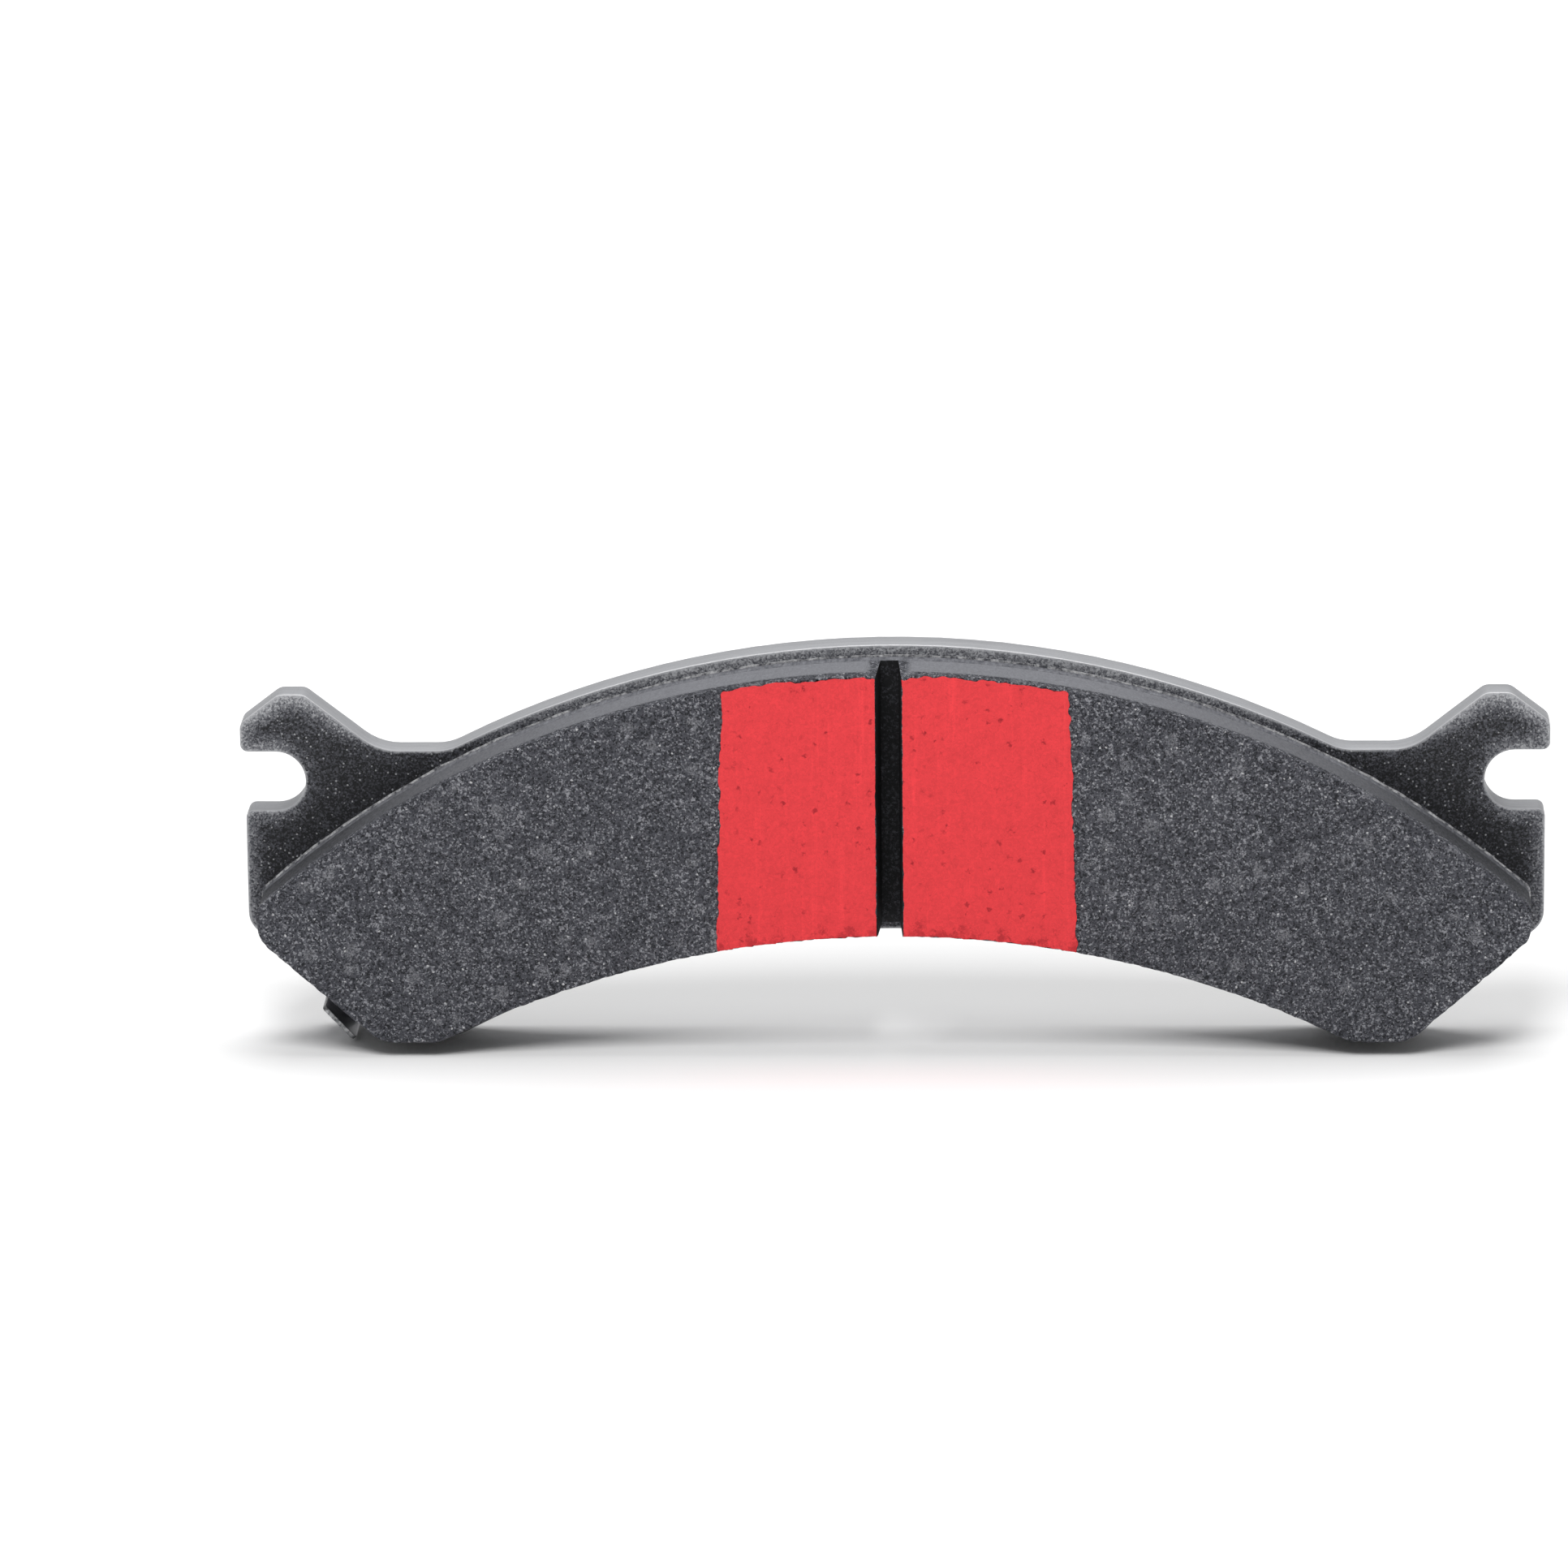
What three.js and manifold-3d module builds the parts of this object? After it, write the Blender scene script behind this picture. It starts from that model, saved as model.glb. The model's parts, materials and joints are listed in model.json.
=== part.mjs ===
// Disc brake pad: a steel backing plate with a moulded friction lining on its rotor side, a damping
// shim on its caliper side, and a sprung wear sensor riveted to one lower corner.
//
// Millimetres. X runs across the pad, Y from the rotor side (-Y) to the caliper side (+Y), Z is up.
// The pad stands on its two feet at Z = 0. While it is built, Y = 0 is the plate's lining face.

import * as THREE from "three";
import { mergeVertices } from "three/addons/utils/BufferGeometryUtils.js";
import Module from "manifold-3d";

// ---- Driving dimensions -------------------------------------------------------------------------

// Backing plate: the heights are measured from the floor, the insets from the tip of the ear.
const plateThickness = 6.0;
const earHalfWidth = 101.05; // centre line to the tip of each ear
const plateTop = 62.75; // top of the crown
const crownDrop = 16.7; // from the top of the crown down to the valley
const shoulderInset = 32.25; // where the crown would meet the valley
const valleyFillet = 8.0;
const rampInset = 21.45; // where the valley turns up into the ear
const rampAngle = 38.0;
const rampFillet = 9.0;
const earRise = 8.95; // from the valley up to the flat top of the ear
const earTopInset = 6.05; // where the flat top would meet the outer slope
const earSlopeAngle = 37.3;
const earTopFillet = 2.2;
const earTipFillet = 1.8;
const slotHeight = 9.3; // the open slot under each ear
const slotDepth = 10.05; // from the ear's tip to the round end of the slot
const slotRoof = 0.15; // the slot's upper wall lies this far below the valley
const slotMouthFillet = 1.2;
const prongSetback = 0.7; // the prong's side lies this far inside the ear's tip
const prongFillet = 4.0;
const diagonalAngle = 41.5; // the lower corner's slope
const footInset = 20.85; // from the prong's side to where the diagonal would reach the floor
const footLength = 11.05; // between the diagonal and the arch, on the floor line
const footOuterFillet = 10.0;
const footInnerFillet = 8.0;
const archRise = 17.45; // height of the arch between the feet

// Friction lining and what bonds it: margins are from the plate's edge to the lining's edge.
const bondThickness = 0.2;
const bondSqueezeOut = 0.2; // the adhesive shows this far outside the lining
const underlayerThickness = 2.4;
const liningThickness = 8.8;
const liningTopMargin = 1.8;
const liningSideMargin = 2.37;
const liningDiagonalMargin = 1.9;
const liningFootMargin = 2.33;
const liningArchMargin = 1.85;
const liningFootInnerMargin = 1.82;
const liningFootFillet = 6.0;
const liningSideFillet = 4.0;
const liningShoulderFillet = 2.0;
const grooveOffset = -0.5; // the groove lies a little to one side of the centre line
const grooveMouthWidth = 3.85;
const grooveFloorWidth = 2.8;

// Bedding coat: two painted patches, one on each side of the groove.
const coatThickness = 0.15;
const coatTopMargin = 0.4; // bare edge above each patch
const coatLean = 1.5; // degrees by which the outer edges spread towards the bottom
const coatLeftReach = 26.5; // centre line to the patch's outer edge, at half its height
const coatRightReach = 27.6;
const coatFillet = 0.8;

// Keys: plugs of underlayer moulded into holes through the plate.
const keyRadius = 5.0;
const keySetback = 0.3; // the plugs stop this far short of the plate's back
const innerKeyX = 22.0;
const innerKeyHeight = 43.0;
const outerKeyX = 64.0;
const outerKeyHeight = 27.0;

// Damping shim: adhesive, soft rubber, a steel core and a textured rubber coat, all of one outline.
const shimFilmThickness = 0.1;
const shimCushionThickness = 0.12;
const shimCoreThickness = 0.45;
const shimCoatThickness = 0.2;
const shimTopMargin = 1.3;
const shimSideMargin = 3.55;
const shimStepMargin = 1.6; // from the ear slot's lower wall down to the shim's step
const shimTabBottom = 17.1; // height of the lower edge of each side tab
const shimLegMargin = 1.4; // from the inner end of the foot out to the side of the shim's leg
const shimArchMargin = 0.8; // the shim's arch lies this far below the lining's
const shimStepFillet = 2.0;
const shimTabFillet = 3.3;
const shimTabLowerFillet = 1.4;
const shimNotchFillet = 2.4;
const shimLegFillet = 3.5;

// Shim studs: two near the middle in close holes, two at the ends in holes with room to grow.
const studRadius = 2.88;
const studProud = 0.25; // above the shim's coat
const studChamfer = 0.12;
const studShankRadius = 2.0;
const studShankDepth = 3.2;
const innerStudX = 41.8;
const innerStudHeight = 32.6;
const outerStudInset = 9.35; // from the prong's side
const outerStudHeight = 23.8;
const outerStudRoom = 0.3;

// Wear sensor: a flat base and a sprung arm folded from one strip, on the -X side.
const sheetThickness = 0.7;
const bendOutset = 1.45; // middle of the bend, out from where the diagonal would reach the floor
const bendHeight = 8.1;
const armHeading = 223.0; // direction in which the arm leaves the base, from +X towards +Z
const bendGap = 0.3; // between base and arm, where the real strip runs through
const armWidth = 6.9;
const armRampAngle = 20.0;
const armReach = 7.8; // bend to the tail's outer face
const armCrestRadius = 1.15; // inside radius of the fold at the crest
const tailReach = 2.6; // how far the tail ends in front of the plate's lining face
const baseHalfWidth = 5.75;
const baseNeckHalfWidth = 3.9;
const baseNeckLength = 0.7;
const baseShoulder = 2.5; // bend to where the base reaches its full width
const baseSideLength = 3.7;
const baseApex = 11.7; // bend to the base's pointed end
const baseApexFillet = 2.2;
const baseCornerFillet = 0.5;
const sensorRivetInset = 5.5; // bend to the rivet's axis
const sensorRivetRadius = 2.0;
const sensorHeadRadius = 3.35;
const sensorHeadHeight = 0.9;
const sensorHeadCrown = 0.35; // from the head's outer edge up to its middle
const sensorHeadShoulderRadius = 2.5; // where the head's edge rolls over into its crown
const sensorHeadShoulderDrop = 0.07; // of that roll, below the middle
const sensorSinkRadius = 3.2;
const sensorSinkDepth = 1.4;

// Shared values
const fitClearance = 0.1; // radial room round plugs, studs and rivets
const chordTolerance = 0.02; // how far a chord may leave the round line that it stands for
const cutMargin = 1.0; // how far a cutting tool runs past the faces it cuts

// ---- Outlines -----------------------------------------------------------------------------------
// An outline is a closed loop of edges, anticlockwise, each straight or part of a circle. Every edge
// carries the radius of the corner at its end. The corners and fillets are worked out here.

const radians = THREE.MathUtils.degToRad;
const newtonSteps = 40; // far more than a corner ever needs

// A straight edge through (x, z). The point only has to lie near the edge's own corners.
function straight(x, z, headingDegrees, corner = 0) {
  return { x, z, heading: radians(headingDegrees), corner };
}

// A round edge about (x, z). turn is 1 where it runs anticlockwise and -1 where it runs clockwise.
function round(x, z, radius, turn, corner = 0) {
  return { x, z, radius, turn, corner };
}

// Signed distance from an edge to a point, positive to the left, and the direction pointing left.
function leftOf(edge, point) {
  const dx = point.x - edge.x;
  const dz = point.z - edge.z;
  if (edge.radius === undefined) {
    const nx = -Math.sin(edge.heading);
    const nz = Math.cos(edge.heading);
    return { distance: dx * nx + dz * nz, nx, nz };
  }
  const length = Math.hypot(dx, dz);
  return {
    distance: edge.turn * (edge.radius - length),
    nx: (-edge.turn * dx) / length,
    nz: (-edge.turn * dz) / length,
  };
}

// The point that lies the same signed distance to the left of two edges, by Newton's method.
function meeting(a, b, offset, start) {
  const point = { x: start.x, z: start.z };
  for (let step = 0; step < newtonSteps; step += 1) {
    const fromA = leftOf(a, point);
    const fromB = leftOf(b, point);
    const errorA = offset - fromA.distance;
    const errorB = offset - fromB.distance;
    const determinant = fromA.nx * fromB.nz - fromA.nz * fromB.nx;
    point.x += (errorA * fromB.nz - errorB * fromA.nz) / determinant;
    point.z += (fromA.nx * errorB - fromB.nx * errorA) / determinant;
  }
  return point;
}

// The corner between two edges: its fillet's centre, its two ends and the way it turns.
function cornerBetween(a, b) {
  const anchor = a.radius === undefined ? a : b;
  const sharp = meeting(a, b, 0, anchor);
  const atA = leftOf(a, sharp);
  const atB = leftOf(b, sharp);
  const turn = atA.nx * atB.nz - atA.nz * atB.nx > 0 ? 1 : -1;
  if (a.corner === 0) {
    return { centre: sharp, start: sharp, end: sharp, turn };
  }
  const offset = turn * a.corner;
  const centre = meeting(a, b, offset, sharp);
  const fromA = leftOf(a, centre);
  const fromB = leftOf(b, centre);
  return {
    centre,
    start: { x: centre.x - offset * fromA.nx, z: centre.z - offset * fromA.nz },
    end: { x: centre.x - offset * fromB.nx, z: centre.z - offset * fromB.nz },
    turn,
  };
}

// Adds the points of a round stretch, from just after its start to its end.
function addRound(points, centre, start, end, turn) {
  const radius = Math.hypot(start.x - centre.x, start.z - centre.z);
  const startAngle = Math.atan2(start.z - centre.z, start.x - centre.x);
  const endAngle = Math.atan2(end.z - centre.z, end.x - centre.x);
  const fullTurn = 2 * Math.PI;
  const sweep = (turn * (endAngle - startAngle) + 2 * fullTurn) % fullTurn;
  const largestStep = 2 * Math.acos(1 - chordTolerance / radius);
  const steps = Math.max(1, Math.ceil(sweep / largestStep));
  for (let step = 1; step <= steps; step += 1) {
    const angle = startAngle + (turn * sweep * step) / steps;
    points.push(new THREE.Vector2(centre.x + radius * Math.cos(angle), centre.z + radius * Math.sin(angle)));
  }
}

// The points of an outline, without doubles where two fillets meet.
function outlinePoints(edges) {
  const corners = edges.map((edge, index) => cornerBetween(edge, edges[(index + 1) % edges.length]));
  const points = [];
  edges.forEach((edge, index) => {
    const corner = corners[index];
    const before = corners[(index + edges.length - 1) % edges.length];
    if (edge.radius === undefined) {
      points.push(new THREE.Vector2(corner.start.x, corner.start.z));
    } else {
      addRound(points, edge, before.end, corner.start, edge.turn);
    }
    if (edge.corner > 0) {
      addRound(points, corner.centre, corner.start, corner.end, corner.turn);
    }
  });
  const doubleDistance = 1e-3;
  return points.filter((point, index) => {
    const next = points[(index + 1) % points.length];
    return point.distanceTo(next) > doubleDistance;
  });
}

// A symmetric outline from its bottom edge, its right side from the bottom up, and its top edge.
function symmetricOutline(bottom, right, top) {
  const half = [bottom, ...right];
  const left = right.map((edge, index) => ({ ...edge, x: -edge.x, corner: half[index].corner }));
  left.forEach((edge) => {
    if (edge.radius === undefined) {
      edge.heading = -edge.heading;
    }
  });
  const crown = { ...top, corner: right[right.length - 1].corner };
  return outlinePoints([...half, crown, ...left.reverse()]);
}

// Radius of the arc that falls by rise over a half chord.
function arcRadius(halfChord, rise) {
  return (halfChord * halfChord + rise * rise) / (2 * rise);
}

// ---- Solids -------------------------------------------------------------------------------------

const wasm = await Module();
wasm.setup();

// A flat piece of an outline, from the plane Y = front to the plane Y = back.
function slab(points, front, back) {
  const geometry = new THREE.ExtrudeGeometry(new THREE.Shape(points), { depth: 1, bevelEnabled: false });
  const position = geometry.getAttribute("position");
  for (let index = 0; index < position.count; index += 1) {
    const x = position.getX(index);
    const z = position.getY(index);
    const y = position.getZ(index) > 0.5 ? front : back;
    position.setXYZ(index, x, y, z);
  }
  return geometry;
}

// A turned piece about an axis along Y through (x, z). The profile is a list of [radius, y].
function turned(profile, x = 0, z = 0) {
  const largest = Math.max(...profile.map(([radius]) => radius));
  const segments = Math.ceil(Math.PI / Math.acos(1 - chordTolerance / largest) / 4) * 4;
  const points = profile.map(([radius, y]) => new THREE.Vector2(radius, y));
  const geometry = new THREE.LatheGeometry(points, segments);
  return geometry.translate(x, 0, z);
}

// A round tool along Y.
function rod(radius, front, back, x, z) {
  return turned([[0, front], [radius, front], [radius, back], [0, back]], x, z);
}

function toManifold(geometry) {
  const bare = geometry.clone();
  bare.deleteAttribute("normal");
  bare.deleteAttribute("uv");
  const mergeDistance = 1e-4;
  const merged = mergeVertices(bare, mergeDistance);
  const vertProperties = new Float32Array(merged.getAttribute("position").array);
  const triVerts = new Uint32Array(merged.index.array);
  return new wasm.Manifold(new wasm.Mesh({ numProp: 3, vertProperties, triVerts }));
}

function toGeometry(manifold) {
  const mesh = manifold.getMesh();
  const geometry = new THREE.BufferGeometry();
  geometry.setAttribute("position", new THREE.BufferAttribute(mesh.vertProperties.slice(), 3));
  geometry.setIndex(new THREE.BufferAttribute(mesh.triVerts.slice(), 1));
  geometry.computeVertexNormals();
  return geometry;
}

function cut(geometry, tools) {
  const start = toManifold(geometry);
  return toGeometry(tools.reduce((piece, tool) => piece.subtract(toManifold(tool)), start));
}

function join(geometry, others) {
  const start = toManifold(geometry);
  return toGeometry(others.reduce((piece, other) => piece.add(toManifold(other)), start));
}

function common(geometry, other) {
  return toGeometry(toManifold(geometry).intersect(toManifold(other)));
}

// ---- Planes and lines that several pieces share --------------------------------------------------

const prongHalfWidth = earHalfWidth - prongSetback;
const valleyHeight = plateTop - crownDrop;
const slotTop = valleyHeight - slotRoof;
const slotBottom = slotTop - slotHeight;
const crownRadius = arcRadius(earHalfWidth - shoulderInset, crownDrop);
const crownCentre = plateTop - crownRadius;
const footOuterX = prongHalfWidth - footInset;
const footInnerX = footOuterX - footLength;

const bondFront = -bondThickness;
const underlayerFront = bondFront - underlayerThickness;
const liningFront = underlayerFront - liningThickness;
const coatFront = liningFront - coatThickness;
const shimFilmBack = plateThickness + shimFilmThickness;
const shimCushionBack = shimFilmBack + shimCushionThickness;
const shimCoreBack = shimCushionBack + shimCoreThickness;
const shimBack = shimCoreBack + shimCoatThickness;

const liningFootInnerX = footInnerX + liningFootInnerMargin;
const liningArchTop = archRise + liningArchMargin;
const liningArchRadius = arcRadius(liningFootInnerX, liningArchTop - liningFootMargin);
const liningArchCentre = liningArchTop - liningArchRadius;
const liningCrownRadius = crownRadius - liningTopMargin;

const keyPlaces = [
  [innerKeyX, innerKeyHeight],
  [-innerKeyX, innerKeyHeight],
  [outerKeyX, outerKeyHeight],
  [-outerKeyX, outerKeyHeight],
];
const outerStudX = prongHalfWidth - outerStudInset;
const studs = [
  { name: "shim_stud_left_end", x: -outerStudX, z: outerStudHeight, room: outerStudRoom },
  { name: "shim_stud_left_middle", x: -innerStudX, z: innerStudHeight, room: fitClearance },
  { name: "shim_stud_right_middle", x: innerStudX, z: innerStudHeight, room: fitClearance },
  { name: "shim_stud_right_end", x: outerStudX, z: outerStudHeight, room: outerStudRoom },
];
const bendX = -(footOuterX + bendOutset);
const armDirection = { x: Math.cos(radians(armHeading)), z: Math.sin(radians(armHeading)) };
const sensorRivetX = bendX - sensorRivetInset * armDirection.x;
const sensorRivetHeight = bendHeight - sensorRivetInset * armDirection.z;

// ---- Backing plate ------------------------------------------------------------------------------

function backingPlate() {
  const archRadius = arcRadius(footInnerX, archRise);
  const arch = round(0, archRise - archRadius, archRadius, -1, footInnerFillet);
  const right = [
    straight(footOuterX, 0, 0, footOuterFillet),
    straight(footOuterX, 0, diagonalAngle, prongFillet),
    straight(prongHalfWidth, slotBottom, 90, slotMouthFillet),
    straight(prongHalfWidth, slotBottom, 180, slotHeight / 2),
    straight(earHalfWidth - slotDepth, slotBottom, 90, slotHeight / 2),
    straight(earHalfWidth, slotTop, 0, slotMouthFillet),
    straight(earHalfWidth, slotTop, 90, earTipFillet),
    straight(earHalfWidth - earTopInset, valleyHeight + earRise, 180 - earSlopeAngle, earTopFillet),
    straight(earHalfWidth - earTopInset, valleyHeight + earRise, 180, earTopFillet),
    straight(earHalfWidth - rampInset, valleyHeight, 180 + rampAngle, rampFillet),
    straight(earHalfWidth - rampInset, valleyHeight, 180, valleyFillet),
  ];
  const crown = round(0, crownCentre, crownRadius, 1);
  const blank = slab(symmetricOutline(arch, right, crown), 0, plateThickness);

  const keyHoles = keyPlaces.map(([x, z]) => rod(keyRadius, -cutMargin, plateThickness + cutMargin, x, z));
  const studHoles = studs.map(({ x, z }) => {
    const floor = plateThickness - studShankDepth - fitClearance;
    return rod(studShankRadius + fitClearance, floor, plateThickness + cutMargin, x, z);
  });
  const sensorHole = turned(
    [
      [0, -cutMargin],
      [sensorSinkRadius + fitClearance + cutMargin, -cutMargin],
      [sensorRivetRadius + fitClearance, sensorSinkDepth],
      [sensorRivetRadius + fitClearance, plateThickness + cutMargin],
      [0, plateThickness + cutMargin],
    ],
    sensorRivetX,
    sensorRivetHeight,
  );
  return cut(blank, [...keyHoles, ...studHoles, sensorHole]);
}

// ---- Lining -------------------------------------------------------------------------------------

// The lining's outline, grown all round by a small amount.
function liningOutline(grow = 0) {
  const side = prongHalfWidth - liningSideMargin + grow;
  const foot = liningFootMargin - grow;
  const slope = radians(diagonalAngle);
  const inwards = liningDiagonalMargin - grow;
  const diagonalX = footOuterX - inwards * Math.sin(slope);
  const diagonalZ = inwards * Math.cos(slope);
  const arch = round(0, liningArchCentre, liningArchRadius - grow, -1, liningFootFillet);
  const right = [
    straight(liningFootInnerX, foot, 0, liningFootFillet),
    straight(diagonalX, diagonalZ, diagonalAngle, liningSideFillet),
    straight(side, slotBottom / 2, 90, liningShoulderFillet),
  ];
  return symmetricOutline(arch, right, round(0, crownCentre, liningCrownRadius + grow, 1));
}

function bondLayer() {
  const film = slab(liningOutline(bondSqueezeOut), bondFront, 0);
  return cut(film, keyPlaces.map(([x, z]) => rod(keyRadius, bondFront - cutMargin, cutMargin, x, z)));
}

function underlayer() {
  const layer = slab(liningOutline(), underlayerFront, bondFront);
  const plugs = keyPlaces.map(([x, z]) => {
    return rod(keyRadius - fitClearance, underlayerFront + cutMargin, plateThickness - keySetback, x, z);
  });
  return join(layer, plugs);
}

// A block that holds everything on one side of the groove, whose wall leans open to the rotor.
function besideGroove(side) {
  const lean = (grooveMouthWidth - grooveFloorWidth) / 2 / liningThickness;
  const wallAt = (y) => {
    return grooveOffset + (side * grooveFloorWidth) / 2 + side * lean * (underlayerFront - y);
  };
  const front = liningFront - cutMargin;
  const back = underlayerFront + cutMargin;
  const far = side * (earHalfWidth + cutMargin);
  const corners = [
    [wallAt(front), front],
    [far, front],
    [far, back],
    [wallAt(back), back],
  ];
  const ordered = side > 0 ? corners : corners.reverse();
  const shape = new THREE.Shape(ordered.map(([x, y]) => new THREE.Vector2(x, y)));
  return new THREE.ExtrudeGeometry(shape, { depth: plateTop, bevelEnabled: false });
}

function lining(side) {
  return common(slab(liningOutline(), liningFront, underlayerFront), besideGroove(side));
}

// A painted patch from the groove's mouth outwards, down to the lining's arch. Its upper outer corner
// is round: that corner ends the outer edge on one side of the pad and the crown on the other.
function beddingCoat(side) {
  const grooveEdge = grooveOffset + (side * grooveMouthWidth) / 2;
  const reach = side > 0 ? coatRightReach : coatLeftReach;
  const topRadius = liningCrownRadius - coatTopMargin;
  const middle = (liningArchTop + crownCentre + topRadius) / 2;
  const outer = straight(side * reach, middle, side * (90 + coatLean), side > 0 ? coatFillet : 0);
  const inner = straight(grooveEdge, middle, side * 270, 0);
  const arch = round(0, liningArchCentre, liningArchRadius, -1, 0);
  const crown = round(0, crownCentre, topRadius, 1, side > 0 ? 0 : coatFillet);
  const edges = side > 0 ? [arch, outer, crown, inner] : [arch, inner, crown, outer];
  return slab(outlinePoints(edges), coatFront, liningFront);
}

// ---- Shim ---------------------------------------------------------------------------------------

function shimOutline() {
  const side = prongHalfWidth - shimSideMargin;
  const step = slotBottom - shimStepMargin;
  const leg = footInnerX + shimLegMargin;
  const arch = round(0, liningArchCentre, liningArchRadius - shimArchMargin, -1, shimLegFillet);
  const right = [
    straight(leg, liningFootMargin, 90, shimNotchFillet),
    straight(leg, shimTabBottom, 0, shimTabLowerFillet),
    straight(side, shimTabBottom, 90, shimTabFillet),
    straight(side - shimTabFillet, step, 180, shimStepFillet),
  ];
  return symmetricOutline(arch, right, round(0, crownCentre, crownRadius - shimTopMargin, 1));
}

function shimLayer(front, back) {
  const holes = studs.map(({ x, z, room }) => {
    return rod(studRadius + room, front - cutMargin, back + cutMargin, x, z);
  });
  return cut(slab(shimOutline(), front, back), holes);
}

function shimStud({ x, z }) {
  const top = shimBack + studProud;
  const profile = [
    [0, plateThickness - studShankDepth],
    [studShankRadius, plateThickness - studShankDepth],
    [studShankRadius, plateThickness],
    [studRadius, plateThickness],
    [studRadius, top - studChamfer],
    [studRadius - studChamfer, top],
    [0, top],
  ];
  return turned(profile, x, z);
}

// ---- Wear sensor --------------------------------------------------------------------------------
// Built about the bend: local X points the way the arm leaves the base, local Z along the bend.

function sensorBase() {
  const bend = -bendGap / 2;
  const shoulder = -baseShoulder;
  const sideEnd = shoulder - baseSideLength;
  const neckAngle = THREE.MathUtils.radToDeg(
    Math.atan2(baseHalfWidth - baseNeckHalfWidth, baseShoulder - baseNeckLength),
  );
  const tipAngle = THREE.MathUtils.radToDeg(Math.atan2(baseHalfWidth, baseApex + sideEnd));
  const loop = [
    straight(bend, 0, 90, 0),
    straight(-baseNeckLength / 2, baseNeckHalfWidth, 180, 0),
    straight(-baseNeckLength, baseNeckHalfWidth, 180 - neckAngle, baseCornerFillet),
    straight(shoulder, baseHalfWidth, 180, baseCornerFillet),
    straight(sideEnd, baseHalfWidth, 180 + tipAngle, baseApexFillet),
    straight(sideEnd, -baseHalfWidth, 360 - tipAngle, baseCornerFillet),
    straight(shoulder, -baseHalfWidth, 0, baseCornerFillet),
    straight(-baseNeckLength, -baseNeckHalfWidth, neckAngle, 0),
    straight(-baseNeckLength / 2, -baseNeckHalfWidth, 0, 0),
  ];
  const sheet = slab(outlinePoints(loop), plateThickness, plateThickness + sheetThickness);
  const holeRadius = sensorRivetRadius + fitClearance;
  const front = plateThickness - cutMargin;
  const back = plateThickness + sheetThickness + cutMargin;
  return cut(sheet, [rod(holeRadius, front, back, -sensorRivetInset, 0)]);
}

// The arm rises from the bend, folds over its crest and runs down past the plate's edge.
function sensorArm() {
  const rise = radians(armRampAngle);
  const middle = plateThickness + sheetThickness / 2;
  const half = sheetThickness / 2;
  const under = { x: half * Math.sin(rise), y: middle - half * Math.cos(rise) };
  const over = { x: -under.x, y: middle + half * Math.cos(rise) };
  const outerFold = armCrestRadius + sheetThickness;
  const loop = [
    straight(under.x, under.y, armRampAngle, armCrestRadius),
    straight(armReach - sheetThickness, middle, 270, 0),
    straight(armReach, -tailReach, 0, 0),
    straight(armReach, middle, 90, outerFold),
    straight(over.x, over.y, 180 + armRampAngle, 0),
    straight(bendGap / 2, middle, 270, 0),
  ];
  const shape = new THREE.Shape(outlinePoints(loop));
  const strip = new THREE.ExtrudeGeometry(shape, { depth: armWidth, bevelEnabled: false });
  return strip.translate(0, 0, -armWidth / 2);
}

// The crest's highest point: the outer fold is tangent to the ramp's upper face and to the tail.
function crestBack() {
  const rise = radians(armRampAngle);
  const outerFold = armCrestRadius + sheetThickness;
  const centreX = armReach - outerFold;
  const middle = plateThickness + sheetThickness / 2;
  const rampTopAtCentre = middle + sheetThickness / 2 / Math.cos(rise) + centreX * Math.tan(rise);
  return rampTopAtCentre - outerFold / Math.cos(rise) + outerFold;
}

function sensorRivet() {
  const seat = plateThickness + sheetThickness;
  const profile = [
    [0, 0],
    [sensorSinkRadius, 0],
    [sensorRivetRadius, sensorSinkDepth],
    [sensorRivetRadius, seat],
    [sensorHeadRadius, seat],
    [sensorHeadRadius, seat + sensorHeadHeight - sensorHeadCrown],
    [sensorHeadShoulderRadius, seat + sensorHeadHeight - sensorHeadShoulderDrop],
    [0, seat + sensorHeadHeight],
  ];
  return turned(profile, -sensorRivetInset, 0);
}

// ---- Assembly -----------------------------------------------------------------------------------

const finishes = {
  platePaint: { color: 0x8d8e92, roughness: 0.45, metalness: 0.4 },
  adhesive: { color: 0xb9b8b2, roughness: 0.6, metalness: 0.0 },
  underlayer: { color: 0x5a5b60, roughness: 0.9, metalness: 0.0 },
  friction: { color: 0x4a4b50, roughness: 0.9, metalness: 0.05 },
  beddingPaint: { color: 0xe8484b, roughness: 0.75, metalness: 0.0 },
  shimSteel: { color: 0xa3a5a8, roughness: 0.4, metalness: 0.9 },
  shimRubber: { color: 0x0f1013, roughness: 0.7, metalness: 0.0 },
  studSteel: { color: 0x77787b, roughness: 0.5, metalness: 0.8 },
  springSteel: { color: 0x9b9ca0, roughness: 0.35, metalness: 0.9 },
};

function piece(name, geometry, finish) {
  const mesh = new THREE.Mesh(geometry, new THREE.MeshStandardMaterial(finishes[finish]));
  mesh.name = name;
  return mesh;
}

const pad = new THREE.Group();
pad.add(
  piece("backing_plate", backingPlate(), "platePaint"),
  piece("bond_layer", bondLayer(), "adhesive"),
  piece("underlayer", underlayer(), "underlayer"),
  piece("lining_left", lining(-1), "friction"),
  piece("lining_right", lining(1), "friction"),
  piece("bedding_coat_left", beddingCoat(-1), "beddingPaint"),
  piece("bedding_coat_right", beddingCoat(1), "beddingPaint"),
  piece("shim_adhesive_film", shimLayer(plateThickness, shimFilmBack), "adhesive"),
  piece("shim_rubber_cushion", shimLayer(shimFilmBack, shimCushionBack), "shimRubber"),
  piece("shim_steel_core", shimLayer(shimCushionBack, shimCoreBack), "shimSteel"),
  piece("shim_rubber_coat", shimLayer(shimCoreBack, shimBack), "shimRubber"),
);
studs.forEach((stud) => pad.add(piece(stud.name, shimStud(stud), "studSteel")));

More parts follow.
